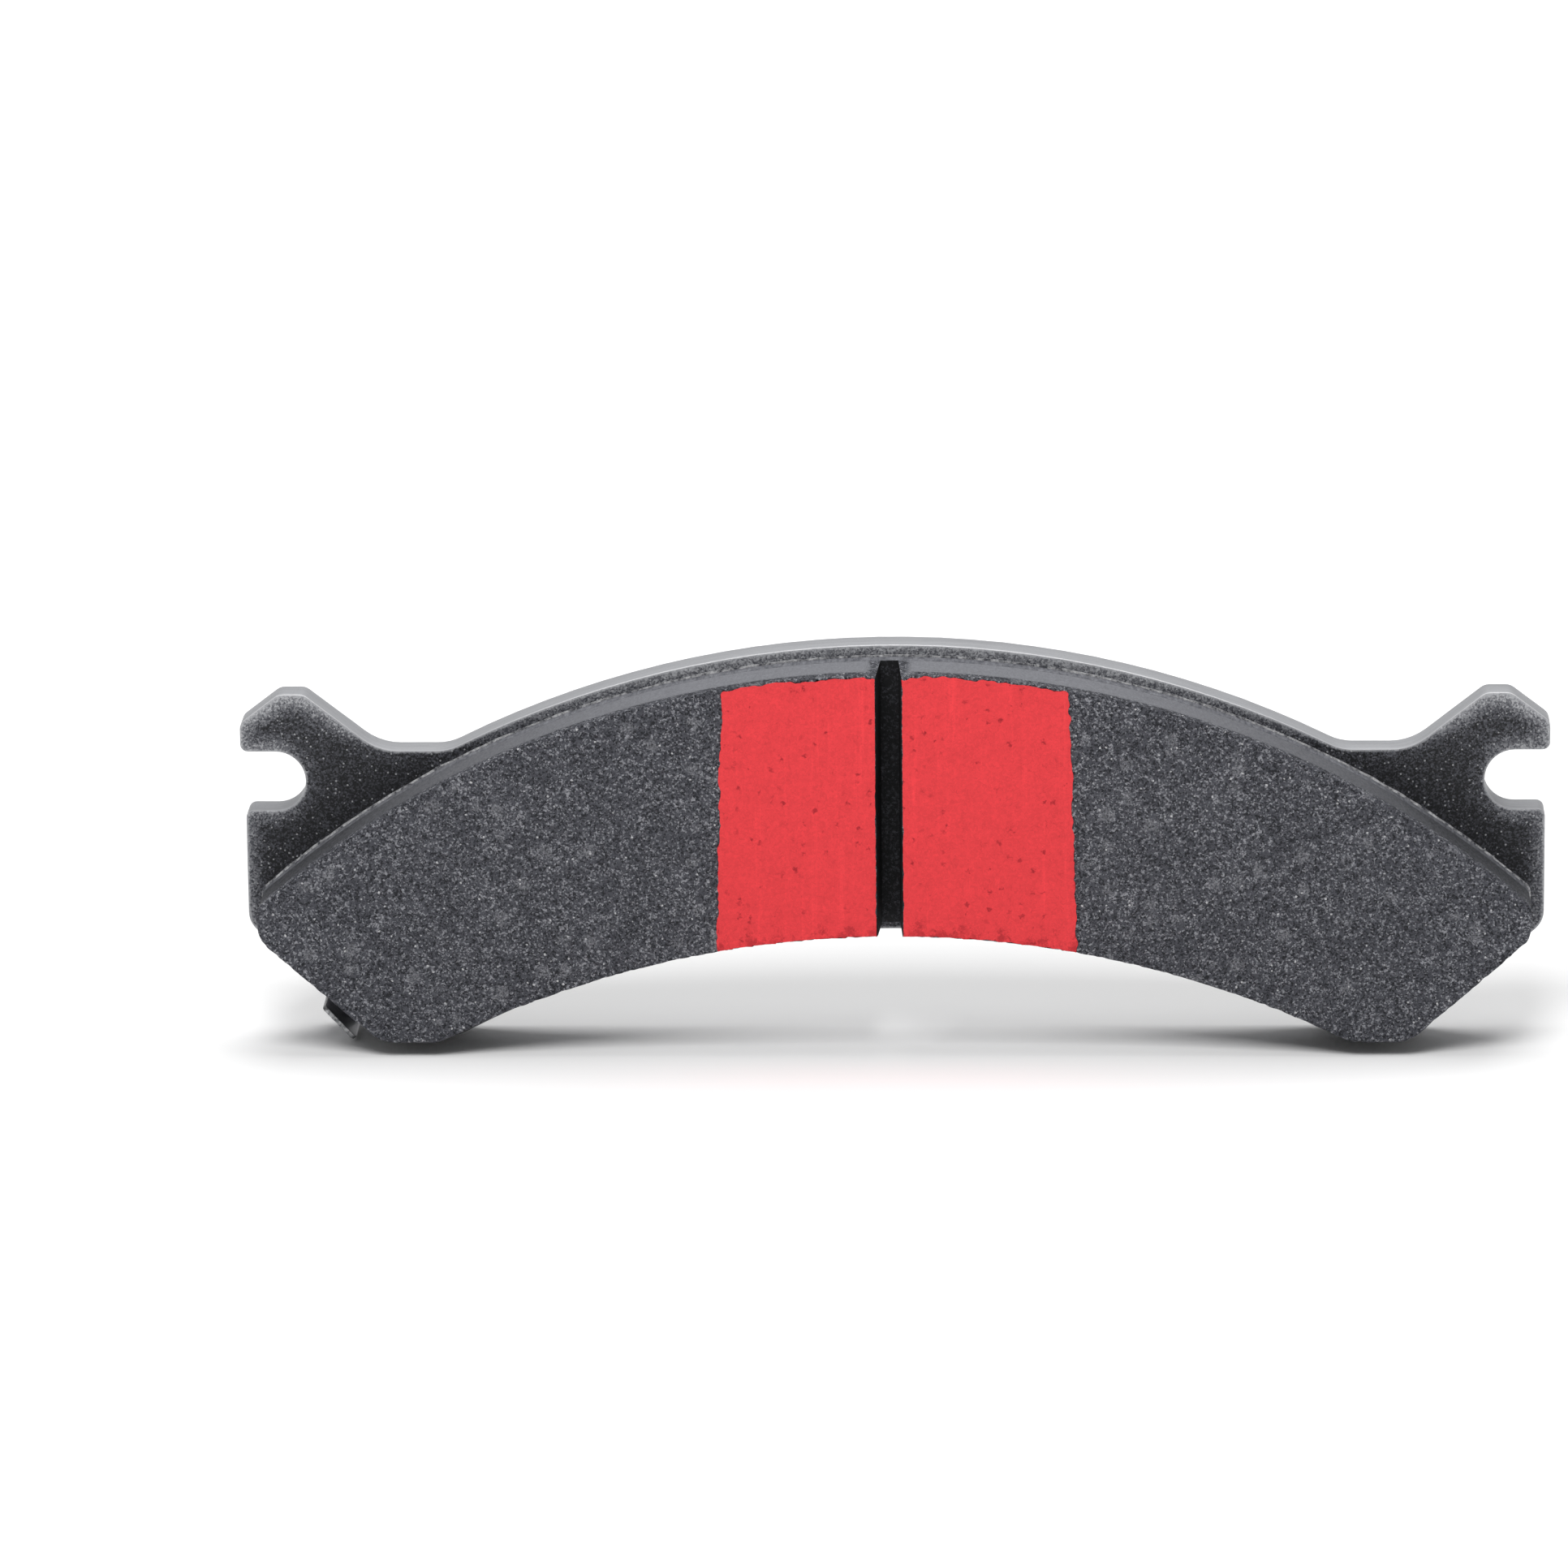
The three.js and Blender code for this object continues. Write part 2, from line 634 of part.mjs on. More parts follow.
const sensor = new THREE.Group();
sensor.position.set(bendX, 0, bendHeight);
sensor.rotation.y = -radians(armHeading);
sensor.add(
  piece("sensor_base", sensorBase(), "springSteel"),
  piece("sensor_arm", sensorArm(), "springSteel"),
  piece("sensor_rivet", sensorRivet(), "studSteel"),
);
pad.add(sensor);

// The origin lies midway between the bedding coat's face and the rearmost point.
const rivetBack = plateThickness + sheetThickness + sensorHeadHeight;
const rearmost = Math.max(crestBack(), shimBack + studProud, rivetBack);
pad.position.y = -(coatFront + rearmost) / 2;

export default pad;
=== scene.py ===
"""Disc brake pad: the pressed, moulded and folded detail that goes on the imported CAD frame.

Everything is in metres, in the frame's own axes: X across the pad, Y from the rotor side (-Y) to the
caliper side (+Y), Z up. The frame's pieces stay where they are; finer pieces stand for some of them.
"""

import json
import math

import bmesh
import bpy
from bpy.props import FloatProperty, FloatVectorProperty, IntProperty, PointerProperty
from mathutils import Matrix, Vector, noise
from mathutils.bvhtree import BVHTree


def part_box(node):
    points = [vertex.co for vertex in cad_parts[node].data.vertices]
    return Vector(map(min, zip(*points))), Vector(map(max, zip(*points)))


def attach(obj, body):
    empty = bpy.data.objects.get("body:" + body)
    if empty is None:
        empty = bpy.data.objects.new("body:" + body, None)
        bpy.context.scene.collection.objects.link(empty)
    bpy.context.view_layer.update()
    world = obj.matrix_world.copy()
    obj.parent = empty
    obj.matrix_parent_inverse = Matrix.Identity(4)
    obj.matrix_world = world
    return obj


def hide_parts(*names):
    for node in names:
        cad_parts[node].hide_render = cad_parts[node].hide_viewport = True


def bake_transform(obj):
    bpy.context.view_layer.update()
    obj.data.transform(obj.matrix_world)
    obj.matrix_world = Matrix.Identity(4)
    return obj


bl_info = {
    "name": "Disc Brake Pad",
    "version": (1, 0, 0),
    "blender": (4, 5, 0),
    "location": "3D View > Sidebar > Brake Pad",
    "description": "Builds the finished look of a disc brake pad around its CAD frame",
    "category": "Object",
}

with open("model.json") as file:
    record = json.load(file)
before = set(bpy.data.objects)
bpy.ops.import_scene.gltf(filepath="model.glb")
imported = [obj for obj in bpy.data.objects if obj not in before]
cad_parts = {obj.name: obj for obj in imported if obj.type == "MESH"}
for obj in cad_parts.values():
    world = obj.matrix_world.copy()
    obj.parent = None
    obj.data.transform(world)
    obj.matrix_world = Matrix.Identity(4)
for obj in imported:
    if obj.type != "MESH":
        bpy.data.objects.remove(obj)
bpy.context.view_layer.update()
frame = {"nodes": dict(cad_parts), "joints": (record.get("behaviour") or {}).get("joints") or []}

MM = 0.001
WELD = 0.001 * MM  # closer than this, two corners of the frame's triangles are one corner
TOUCH = 0.01 * MM
TUCKED = 0.2 * MM  # this close to the adhesive, a wall of the plate is the side of a key hole


def millimetres(value):
    """A length in metres from one in millimetres."""
    return value * MM


def linear(code):
    """A linear colour with alpha from an sRGB hex code such as 4a4b50."""
    channels = [int(code[i : i + 2], 16) / 255 for i in (0, 2, 4)]
    return tuple(c / 12.92 if c <= 0.04045 else ((c + 0.055) / 1.055) ** 2.4 for c in channels) + (1.0,)


# ---- Facts from the frame -----------------------------------------------------------------------

PLATE_LOW, PLATE_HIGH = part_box("backing_plate")
LINING_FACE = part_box("lining_left")[0].y
LINING_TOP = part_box("lining_left")[1].z
GROOVE_MIDDLE = (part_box("lining_left")[1].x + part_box("lining_right")[0].x) / 2
COAT_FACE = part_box("bedding_coat_left")[0].y
FLEX = next(joint for joint in frame["joints"] if joint["name"] == "sensor_flex")
BEND = Vector(FLEX["pos_m"])
ACROSS_STRIP = Vector(FLEX["axis"]).normalized()
ALONG_STRIP = Vector((0, 1, 0)).cross(ACROSS_STRIP)
SHEET_BACK, SHEET_FRONT = (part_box("sensor_base")[k].y for k in (1, 0))
ARM_REACH = max((v.co - BEND).dot(ALONG_STRIP) for v in frame["nodes"]["sensor_arm"].data.vertices)
ARM_HALF_WIDTH = max((v.co - BEND).dot(ACROSS_STRIP) for v in frame["nodes"]["sensor_arm"].data.vertices)
BASE_HALF_WIDTH = max((v.co - BEND).dot(ACROSS_STRIP) for v in frame["nodes"]["sensor_base"].data.vertices)
TAIL_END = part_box("sensor_arm")[0].y
UNDERLAYER_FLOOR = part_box("underlayer")[0].y

# ---- Sizes that stay as they are ----------------------------------------------------------------

SHARP = math.radians(60)  # an edge that turns more than this is a corner
NEARLY_FLAT = math.radians(0.4)  # faces that turn less than this are one face
FAR = 40 * MM  # how far the plate looks for its outline and for the lining
GROOVE_SIDE = 2.4 * MM  # nearer to the groove's middle than this, a wall is the groove's
TORN_HALF, TORN_SIDE = 2.0 * MM, 1.5 * MM  # torn corners: half the groove, and how far they fade beside it
TORN_DROP, TORN_BACK = 2.2 * MM, 2.6 * MM  # and how far down the crown and back from the face
WALL_START, WALL_END, WALL_WAVE = 2.0 * MM, 8.5 * MM, 0.04 * MM  # the lining's moulded wall and its wave
CHIP_BACK = 1.5 * MM  # the chips along the face's edge fade out this far down the wall
ARCH_CROWN, ARCH_SPREAD = 19.3, 308.0  # the lining's arch in mm: height = crown - across * across / spread
STUD_SHANK, STUD_SINK = 0.69, 0.02 * MM  # shank as a share of the head, and how far the face is sunk
STUD_CORNER = (90, 65, 40, 20, 0)  # degrees round the head's edge
FINE_GRAINS, COARSE_GRAINS = 4.2, 1.7  # to the millimetre, in the friction mix and on the blasted steel
STUD_RINGS = (0.84, 0.72, 0.6, 0.48, 0.36, 0.24, 0.12, 0.0)
RIVET_SHANK, RIVET_FOOT, RIVET_FOOT_DEEP = 0.597, 0.955, 1.4 * MM
RIVET_HOLE = 0.31  # as a share of the head's width
RIVET_HEAD = (  # radius and height, as shares of the head's
    (1.0, 0.0), (1.0, 0.35), (0.98, 0.55), (0.94, 0.78), (0.89, 0.96), (0.83, 0.98), (0.77, 0.78),
    (0.71, 0.5), (0.64, 0.42), (0.56, 0.55), (0.48, 0.76), (0.4, 0.9), (0.32, 0.86), (0.24, 0.66),
    (0.14, 0.52), (0.0, 0.5),
)
BEND_STEPS, CREST_STEPS, STRIP_STEPS = 6, 22, 40
FLOOR_HALF, ROOM_LIGHT = 4.0, 0.3
LIT_POINT = Vector((0.0, 0.0, 0.02))
SOFTBOXES = (  # name, place, size and power
    ("key_softbox", (-0.15, -0.75, 1.15), 0.6, 12.5),
    ("overhead_softbox", (0.1, 0.25, 1.2), 0.9, 9.5),
)
CAMERA_LENS, CAMERA_SENSOR = 221.59, 36.0
CAMERA_ANGLES = (2.026, 14.8, -0.607)  # azimuth, elevation and roll in degrees
CAMERA_PLACE = (0.03396, -1.43846, 0.42133)


# ---- Settings -----------------------------------------------------------------------------------


def length(name, description, default):
    """A length setting, given in millimetres and kept in metres."""
    return FloatProperty(
        name=name, description=description, default=default * MM, min=0.0, unit="LENGTH", precision=5
    )


def colour(name, description, code):
    """A colour setting from an sRGB hex code."""
    return FloatVectorProperty(
        name=name, description=description, default=linear(code), size=4, min=0.0, max=1.0, subtype="COLOR"
    )


class PadSizes(bpy.types.PropertyGroup):
    """Sizes of the detail that the frame leaves out."""

    plate_front_roll: length("Plate front edge", "Broken edge round the plate's lining side", 0.22)
    plate_back_roll: length("Plate back edge", "Rolled edge round the plate's shim side", 0.55)
    plate_cell: length("Plate mesh", "Size of the plate's mesh cells", 0.7)
    plate_wave: length("Plate waviness", "Height of the baked paint's slow waves on the back", 0.05)
    lining_cell: length("Lining mesh", "Size of the lining's mesh cells", 0.45)
    lining_edge: length("Lining edge", "Worn edge round the lining's face", 0.2)
    lining_pit: length("Lining pits", "Depth of the torn-out grains in the lining's face", 0.13)
    lining_chip: length("Lining chips", "Depth of the chips along the lining's edges", 0.3)
    groove_tear: length("Torn corners", "Depth of the torn corners at the groove's upper end", 0.7)
    coat_bare_edge: length("Bare edge", "Bare lining between the coat and the lining's own edges", 0.16)
    coat_ragged: length("Ragged coat", "How far the painted edges wander", 0.3)
    glue_ragged: length("Ragged glue", "How far the glue line is squeezed out", 0.13)
    shim_trim: length("Shim trim", "Steel left showing round the shim's rubber coat", 0.13)
    shim_edge: length("Shim edge", "Rounded edge of the rubber coat", 0.06)
    stud_edge: length("Stud edge", "Rounded edge of each stud's head", 0.16)
    stud_dent: length("Stud dents", "Depth of the dents that the press leaves in each stud", 0.05)
    base_apex: length("Base length", "Sensor's bend to the pointed end of its base", 11.7)
    base_side: length("Base side", "Length of the base's two parallel sides", 3.7)
    base_shoulder: length("Base shoulder", "Bend to where the base reaches its full width", 2.5)
    base_neck: length("Base neck", "Bend to where the base starts to widen", 0.7)
    base_neck_half: length("Neck half width", "Half the strip's width at the neck", 3.9)
    bend_radius: length("Bend radius", "Middle radius of the bend between base and arm", 0.9)
    crest_radius: length("Crest radius", "Inside radius of the fold at the arm's crest", 1.15)
    strip_rim: length("Strip rim", "Broken edge round the sensor's strip", 0.1)
    rivet_set: length("Rivet inset", "Bend to the rivet's axis", 5.5)
    rivet_dent: length("Rivet dents", "Depth of the hammer's marks in the rivet's head", 0.16)
    weave: length("Weave pitch", "Distance between the raised dots of the shim's rubber coat", 0.7)
    crackle: length("Crackle cell", "Size of the cells in the baked paint", 1.25)
    ramp_angle: FloatProperty(
        name="Ramp angle",
        description="Slope of the sensor's arm out from its base",
        default=math.radians(20.0),
        subtype="ANGLE",
    )
    turned_steps: IntProperty(
        name="Turned steps", description="Faces round each stud and the rivet", default=72, min=24
    )


class PadColours(bpy.types.PropertyGroup):
    """Colours of the pad's finishes."""

    paint_light: colour("Silver paint", "Baked paint where it is thick", "b6b7ba")
    paint_dark: colour("Thin paint", "Baked paint where it is thin", "8c8d91")
    paint_crevice: colour("Crevice", "Crevices between the cells of the baked paint", "48494d")
    edge_light: colour("Plate wall", "The plate's smooth sheared wall", "a6a7aa")
    # A raised sheared edge with a painted highlight on it: the bright line along the plate's front edge.
    burr_highlight: colour("Burr", "Bright burr along the plate's front edge", "d2d2d4")
    blast_dark: colour("Blasted steel", "Blasted steel round the lining, bare of paint", "101114")
    blast_light: colour("Overspray", "Paint caught on the blasted grains", "77787c")
    friction_dark: colour("Dark grain", "Darkest grains of the friction mix", "1d1e22")
    friction_mid: colour("Friction mix", "The ground friction mix", "43444a")
    friction_light: colour("Light grain", "Lightest grains of the friction mix", "86878c")
    fleck: colour("Fleck", "Bright metal and mineral flecks", "c4c4c6")
    skin: colour("Pressed skin", "The lining's moulded side wall", "7c7d82")
    # Near black: the groove's shade painted in, with dust.
    groove: colour("Groove", "Walls of the groove", "0c0d10")
    bedding: colour("Bedding coat", "Red bedding paint", "d93b40")
    bedding_stain: colour("Bedding stain", "Red paint where it has soaked in", "9c2029")
    glue: colour("Adhesive", "Cured adhesive", "c9c9ca")
    rubber: colour("Rubber", "Black rubber of the shim", "030305")
    # The lighter colour of the dots is a painted sheen; the inner rubber uses it as a lighter tone.
    rubber_high: colour("Rubber dots", "Raised dots of the weave", "34353b")
    shim_steel: colour("Shim steel", "Sheared edge of the shim's core", "b9babc")
    zinc_light: colour("Zinc", "Zinc plating, lighter patches", "8f9092")
    zinc_dark: colour("Dull zinc", "Zinc plating, duller patches", "5b5c5f")
    spring_light: colour("Spring steel", "Bare spring steel", "d4d5d8")
    # Dull mill oxide on the strip's inner side, with painted shade and a painted reflection of the dark
    # lining.
    oxide_and_shade: colour("Mill oxide", "Dull oxide on the inner side of the strip", "8a8b90")
    # The dark end of the steel's tone, and also the colour of its painted shade and painted reflection.
    spring_dark: colour("Handled steel", "Spring steel with a trace of oil", "67686c")
    floor: colour("Floor", "Pale studio floor", "f4f4f4")


class PadSettings(bpy.types.PropertyGroup):
    """All of the pad's settings."""

    sizes: PointerProperty(type=PadSizes)
    colours: PointerProperty(type=PadColours)


# ---- Mesh work ----------------------------------------------------------------------------------


def welded_copy(node):
    """A bmesh copy of a CAD node, its loose triangles merged and its flat faces made whole."""
    bm = bmesh.new()
    bm.from_mesh(frame["nodes"][node].data)
    bmesh.ops.remove_doubles(bm, verts=bm.verts, dist=WELD)
    bmesh.ops.dissolve_limit(
        bm, angle_limit=NEARLY_FLAT, verts=bm.verts, edges=bm.edges, delimit={"NORMAL"}
    )
    return bm


def rim(bm, height):
    """The edges in the plane Y = height where the mesh turns a corner."""
    return [
        edge
        for edge in bm.edges
        if edge.calc_face_angle(0.0) > SHARP and all(abs(v.co.y - height) < TOUCH for v in edge.verts)
    ]


def bevel_edges(bm, edges, offset, segments=2):
    """Rounds the edges."""
    bmesh.ops.bevel(
        bm,
        geom=edges,
        offset=offset,
        offset_type="OFFSET",
        segments=segments,
        profile=0.5,
        affect="EDGES",
        material=-1,
        clamp_overlap=False,
    )


def slice_at(bm, axis, position):
    """Cuts every face that the plane crosses, and keeps both sides."""
    point, normal = Vector((0, 0, 0)), Vector((0, 0, 0))
    point[axis], normal[axis] = position, 1.0
    geometry = bm.verts[:] + bm.edges[:] + bm.faces[:]
    bmesh.ops.bisect_plane(bm, geom=geometry, dist=WELD, plane_co=point, plane_no=normal)


def slice_grid(bm, step, axes=(0, 2)):
    """Cuts the mesh into cells along the given axes."""
    for axis in axes:
        low = min(v.co[axis] for v in bm.verts)
        high = max(v.co[axis] for v in bm.verts)
        count = max(1, round((high - low) / step))
        for k in range(1, count):
            slice_at(bm, axis, low + (high - low) * k / count)
    bmesh.ops.remove_doubles(bm, verts=bm.verts, dist=step * 0.04)


def lumps(point, size, seed=0.0):
    """Smooth noise, about -1 to 1, in lumps about one size across."""
    return noise.noise(point / size + Vector((seed, seed * 1.7, -seed)))


def tear_corner(vert, depth):
    """Lowers the crown beside the groove, where the cutter broke the corners as it ran out."""
    beside = max(0.0, 1.0 - max(0.0, abs(vert.co.x - GROOVE_MIDDLE) - TORN_HALF) / TORN_SIDE)
    crown = max(0.0, 1.0 - (LINING_TOP - vert.co.z) / TORN_DROP)
    behind = max(0.0, 1.0 - (vert.co.y - LINING_FACE) / TORN_BACK)
    torn = max(0.0, 0.7 + 1.1 * lumps(vert.co, millimetres(0.7), 14.0))
    vert.co.z -= torn * min(1.0, 1.6 * beside) * crown * behind * depth


def place(bm, name, body, node_names, materials, slot=None, crisp=False, angle=35.0):
    """Makes the finished object: smooth faces, creases where it turns sharply, its body and its finish."""
    bm.normal_update()
    for face in bm.faces:
        face.smooth = True
    limit = math.radians(angle)
    for edge in bm.edges:
        flat = [abs(face.normal.y) > 0.99999 for face in edge.link_faces]
        edge.smooth = edge.calc_face_angle(0.0) < limit and not (crisp and any(flat) and not all(flat))
    mesh = bpy.data.meshes.new(name)
    bm.to_mesh(mesh)
    bm.free()
    for material in materials:
        mesh.materials.append(material)
    piece = bpy.data.objects.new(name, mesh)
    bpy.context.scene.collection.objects.link(piece)
    if body:
        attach(piece, body)
    if node_names:
        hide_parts(*node_names)
    return piece


def turned(profile, steps):
    """A turned piece about the Y axis from a list of radius and height, closed on the axis at both ends."""
    bm = bmesh.new()
    points = [bm.verts.new((radius, height, 0.0)) for radius, height in profile]
    line = [bm.edges.new(pair) for pair in zip(points, points[1:])]
    bmesh.ops.spin(
        bm,
        geom=points + line,
        cent=(0, 0, 0),
        axis=(0, 1, 0),
        angle=math.tau,
        steps=steps,
        use_merge=True,
        use_duplicate=False,
    )
    bmesh.ops.remove_doubles(bm, verts=bm.verts, dist=WELD)
    bmesh.ops.recalc_face_normals(bm, faces=bm.faces)
    return bm


# ---- Materials ----------------------------------------------------------------------------------


def add(tree, kind, *inputs, output=0, stops=None, **settings):
    """Adds a node with its settings, sets or links its inputs, and returns one of its outputs. The inputs
    come in the node's own order, or as one dict of sockets and values."""
    made = tree.nodes.new("ShaderNode" + kind)
    for key, value in settings.items():
        setattr(made, key, value)
    by_socket = inputs[0] if inputs and isinstance(inputs[0], dict) else dict(enumerate(inputs))
    for key, value in by_socket.items():
        if isinstance(value, bpy.types.NodeSocket):
            tree.links.new(value, made.inputs[key])
        else:
            made.inputs[key].default_value = value
    if stops:
        elements = made.color_ramp.elements
        while len(elements) < len(stops):
            elements.new(0.5)
        for element, (position, shade) in zip(elements, stops):
            element.position, element.color = position, shade
    return made.outputs[output] if made.outputs else made


def begin(name):
    """A new material, its node tree and the piece's own coordinates in millimetres."""
    material = bpy.data.materials.new(name)
    material.use_nodes = True
    tree = material.node_tree
    tree.nodes.clear()
    coordinates = add(tree, "TexCoord", output="Object")
    point = add(tree, "Mapping", {"Vector": coordinates, "Scale": (1 / MM, 1 / MM, 1 / MM)})
    return material, tree, point


def finish_surface(tree, base, roughness, height, strength, depth, metallic=0.0, specular=0.5):
    """Ends a material: its colour, its roughness, and a bump whose full height is depth in millimetres."""
    bump = add(tree, "Bump", {"Height": height, "Strength": strength, "Distance": depth * MM})
    shader = add(
        tree,
        "BsdfPrincipled",
        {
            "Base Color": base,
            "Roughness": roughness,
            "Metallic": metallic,
            "Specular IOR Level": specular,
            "Normal": bump,
        },
    )
    add(tree, "OutputMaterial", {"Surface": shader})


def speckle(tree, point, per_mm):
    """One random grey for each grain, so many grains to the millimetre."""
    grains = add(tree, "TexVoronoi", {"Vector": point, "Scale": per_mm}, output="Color")
    return add(tree, "SeparateColor", {"Color": grains})


def crooked(tree, point, per_mm, reach):
    """The point pushed about by noise, so that cells drawn on it are irregular; reach in millimetres."""
    push = add(tree, "TexNoise", {"Vector": point, "Scale": per_mm, "Detail": 2.0}, output="Color")
    centred = add(tree, "VectorMath", {0: push, 1: (0.5, 0.5, 0.5)}, operation="SUBTRACT")
    return add(tree, "VectorMath", centred, (2 * reach,) * 3, point, operation="MULTIPLY_ADD")


def drawn_out(tree, point, stretch, per_mm, detail, roughness=0.5):
    """Noise stretched along the directions where the stretch is small, as a mould or a roller leaves it."""
    stretched = add(tree, "Mapping", {"Vector": point, "Scale": stretch})
    noise_inputs = {"Vector": stretched, "Scale": per_mm, "Detail": detail, "Roughness": roughness}
    return add(tree, "TexNoise", noise_inputs)


def scattered(tree, point, per_mm, spread, chosen):
    """Spots in some cells, so many cells to the millimetre. Each spot fades between two shares of its cell,
    and a cell gets one when its own random number is past the chosen range."""
    place = add(tree, "TexVoronoi", {"Vector": point, "Scale": per_mm})
    spot = add(tree, "MapRange", place, *spread)
    picked = add(tree, "MapRange", speckle(tree, point, per_mm), *chosen)
    return add(tree, "Math", spot, picked, operation="MULTIPLY")


def weighted(tree, first, *others):
    """Adds patterns up, each with the share it is given."""
    total = add(tree, "Math", *first, operation="MULTIPLY")
    for pattern, share in others:
        total = add(tree, "Math", pattern, share, total, operation="MULTIPLY_ADD")
    return total


def coated(tree, shade, share, strength, colour):
    """Lays one coat over a shade: where it shows, how strongly there, and its colour."""
    share = add(tree, "Math", share, strength, operation="MULTIPLY")
    return add(tree, "Mix", {0: share, 6: shade, 7: colour}, output=2, data_type="RGBA")


def graded(tree, value, low, high, first, last):
    """A shade that goes from one colour to another as a value rises from low to high."""
    share = add(tree, "MapRange", value, low, high)
    return add(tree, "Mix", {0: share, 6: first, 7: last}, output=2, data_type="RGBA")


def friction_mix(colours):
    """Non-asbestos friction mix, pressed and ground flat: dark grey crumbs of many sizes, dull, with a few
    pale mineral lumps and bright flecks. The side walls keep the smoother skin of the mould. The finest
    crumbs are drawn about a quarter of a millimetre across, coarser than the real dust, so that they show."""
    material, tree, point = begin("ground_friction_mix")
    torn = crooked(tree, point, 2.6, 0.22)
    fine = speckle(tree, torn, FINE_GRAINS)
    coarse = speckle(tree, torn, COARSE_GRAINS)
    soft = add(tree, "TexNoise", {"Vector": point, "Scale": 3.2, "Detail": 5.0, "Roughness": 0.75})
    cloud = add(tree, "TexNoise", {"Vector": point, "Scale": 0.16, "Detail": 3.0, "Roughness": 0.6})
    grain = weighted(tree, (fine, 0.5), (coarse, 0.16), (soft, 0.5), (cloud, 0.16))
    shade = add(
        tree,
        "ValToRGB",
        {"Fac": grain},
        stops=[
            (0.44, colours.friction_dark),
            (0.63, colours.friction_mid),
            (0.78, colours.friction_mid),
            (0.93, colours.friction_light),
        ],
    )
    wide = crooked(tree, point, 1.2, 1.3)
    lump = scattered(tree, wide, 0.3, (0.4, 0.28), (0.72, 0.78))
    lump = add(tree, "Math", lump, add(tree, "MapRange", soft, 0.42, 0.58), operation="MULTIPLY")
    shade = coated(tree, shade, lump, 0.6, colours.friction_light)
    fleck = scattered(tree, torn, 1.1, (0.22, 0.14), (0.86, 0.9))
    shade = coated(tree, shade, fleck, 0.8, colours.fleck)
    # The smooth skin starts a little behind the face and beside the groove, along a ragged line. It is
    # painted paler towards the crown and darker low down: painted light from above.
    places = add(tree, "SeparateXYZ", {"Vector": point}, output="Y")
    depth = add(tree, "Math", places, LINING_FACE / MM, operation="SUBTRACT")
    skin = add(tree, "MapRange", weighted(tree, (depth, 1.0), (soft, -2.0)), 0.7, 1.3)
    across = add(tree, "Math", places.node.outputs["X"], GROOVE_MIDDLE / MM, operation="SUBTRACT")
    beside = weighted(tree, (add(tree, "Math", across, operation="ABSOLUTE"), 1.0), (soft, -2.6))
    skin = add(tree, "Math", skin, add(tree, "MapRange", beside, 1.3, 2.1), operation="MULTIPLY")
    # Painted light from above: with height, the wall's colour rises from the darkest grain towards the skin
    # colour.
    height = add(tree, "MapRange", places.node.outputs["Z"], 34.0, 58.0)
    drawn = drawn_out(tree, point, (1.0, 0.4, 1.0), 2.4, 5.0, 0.8)
    mottle = add(tree, "MapRange", drawn, 0.3, 0.75, 0.0, 0.4)
    paler = weighted(tree, (mottle, 1.0), (height, 0.65))
    skin_shade = graded(tree, paler, 0.0, 1.0, colours.friction_dark, colours.skin)
    shade = add(tree, "Mix", {0: skin, 6: shade, 7: skin_shade}, output=2, data_type="RGBA")
    relief = weighted(tree, (grain, 1.0), (skin, -0.3), (lump, 0.2))
    dull = add(tree, "MapRange", grain, 0.5, 1.0, 0.92, 0.7)
    finish_surface(tree, shade, dull, relief, 0.75, 0.14, specular=0.3)
    return material


def groove_wall(colours):
    """The groove's moulded walls: the same mix, black with shade and dust, with a few pale crumbs."""
    material, tree, point = begin("groove_friction_mix")
    fine = speckle(tree, point, 3.0)
    soft = add(tree, "TexNoise", {"Vector": point, "Scale": 1.8, "Detail": 4.0})
    shade = add(
        tree,
        "ValToRGB",
        {"Fac": add(tree, "Math", fine, soft, operation="MULTIPLY")},
        stops=[
            (0.0, colours.groove),
            (0.42, colours.groove),
            (0.62, colours.friction_dark),
            (0.8, colours.friction_light),
        ],
    )
    finish_surface(tree, shade, 0.9, fine, 0.5, 0.1, specular=0.2)
    return material


def pressed_skin(colours):
    """The underlayer's moulded wall: mid grey, smoother than the ground face, with faint mottling."""
    material, tree, point = begin("moulded_underlayer")
    drawn = drawn_out(tree, point, (1.0, 0.25, 1.0), 1.6, 5.0, 0.75)
    crumbs = speckle(tree, crooked(tree, point, 2.6, 0.45), 3.4)
    grains = add(tree, "Math", crumbs, drawn, operation="MULTIPLY")
    shade = graded(tree, drawn, 0.35, 0.7, colours.friction_mid, colours.skin)
    # Where the underlayer shows as the groove's floor, it is painted near black with a few grey crumbs:
    # painted shade in the groove.
    floor_grain = graded(tree, grains, 0.3, 0.65, colours.groove, colours.friction_mid)
    front = add(tree, "SeparateXYZ", {"Vector": point}, output="Y")
    at_floor = add(tree, "MapRange", front, UNDERLAYER_FLOOR / MM + 0.15, UNDERLAYER_FLOOR / MM + 0.02)
    shade = add(tree, "Mix", {0: at_floor, 6: shade, 7: floor_grain}, output=2, data_type="RGBA")
    finish_surface(tree, shade, 0.8, drawn, 0.4, 0.06, specular=0.35)
    return material


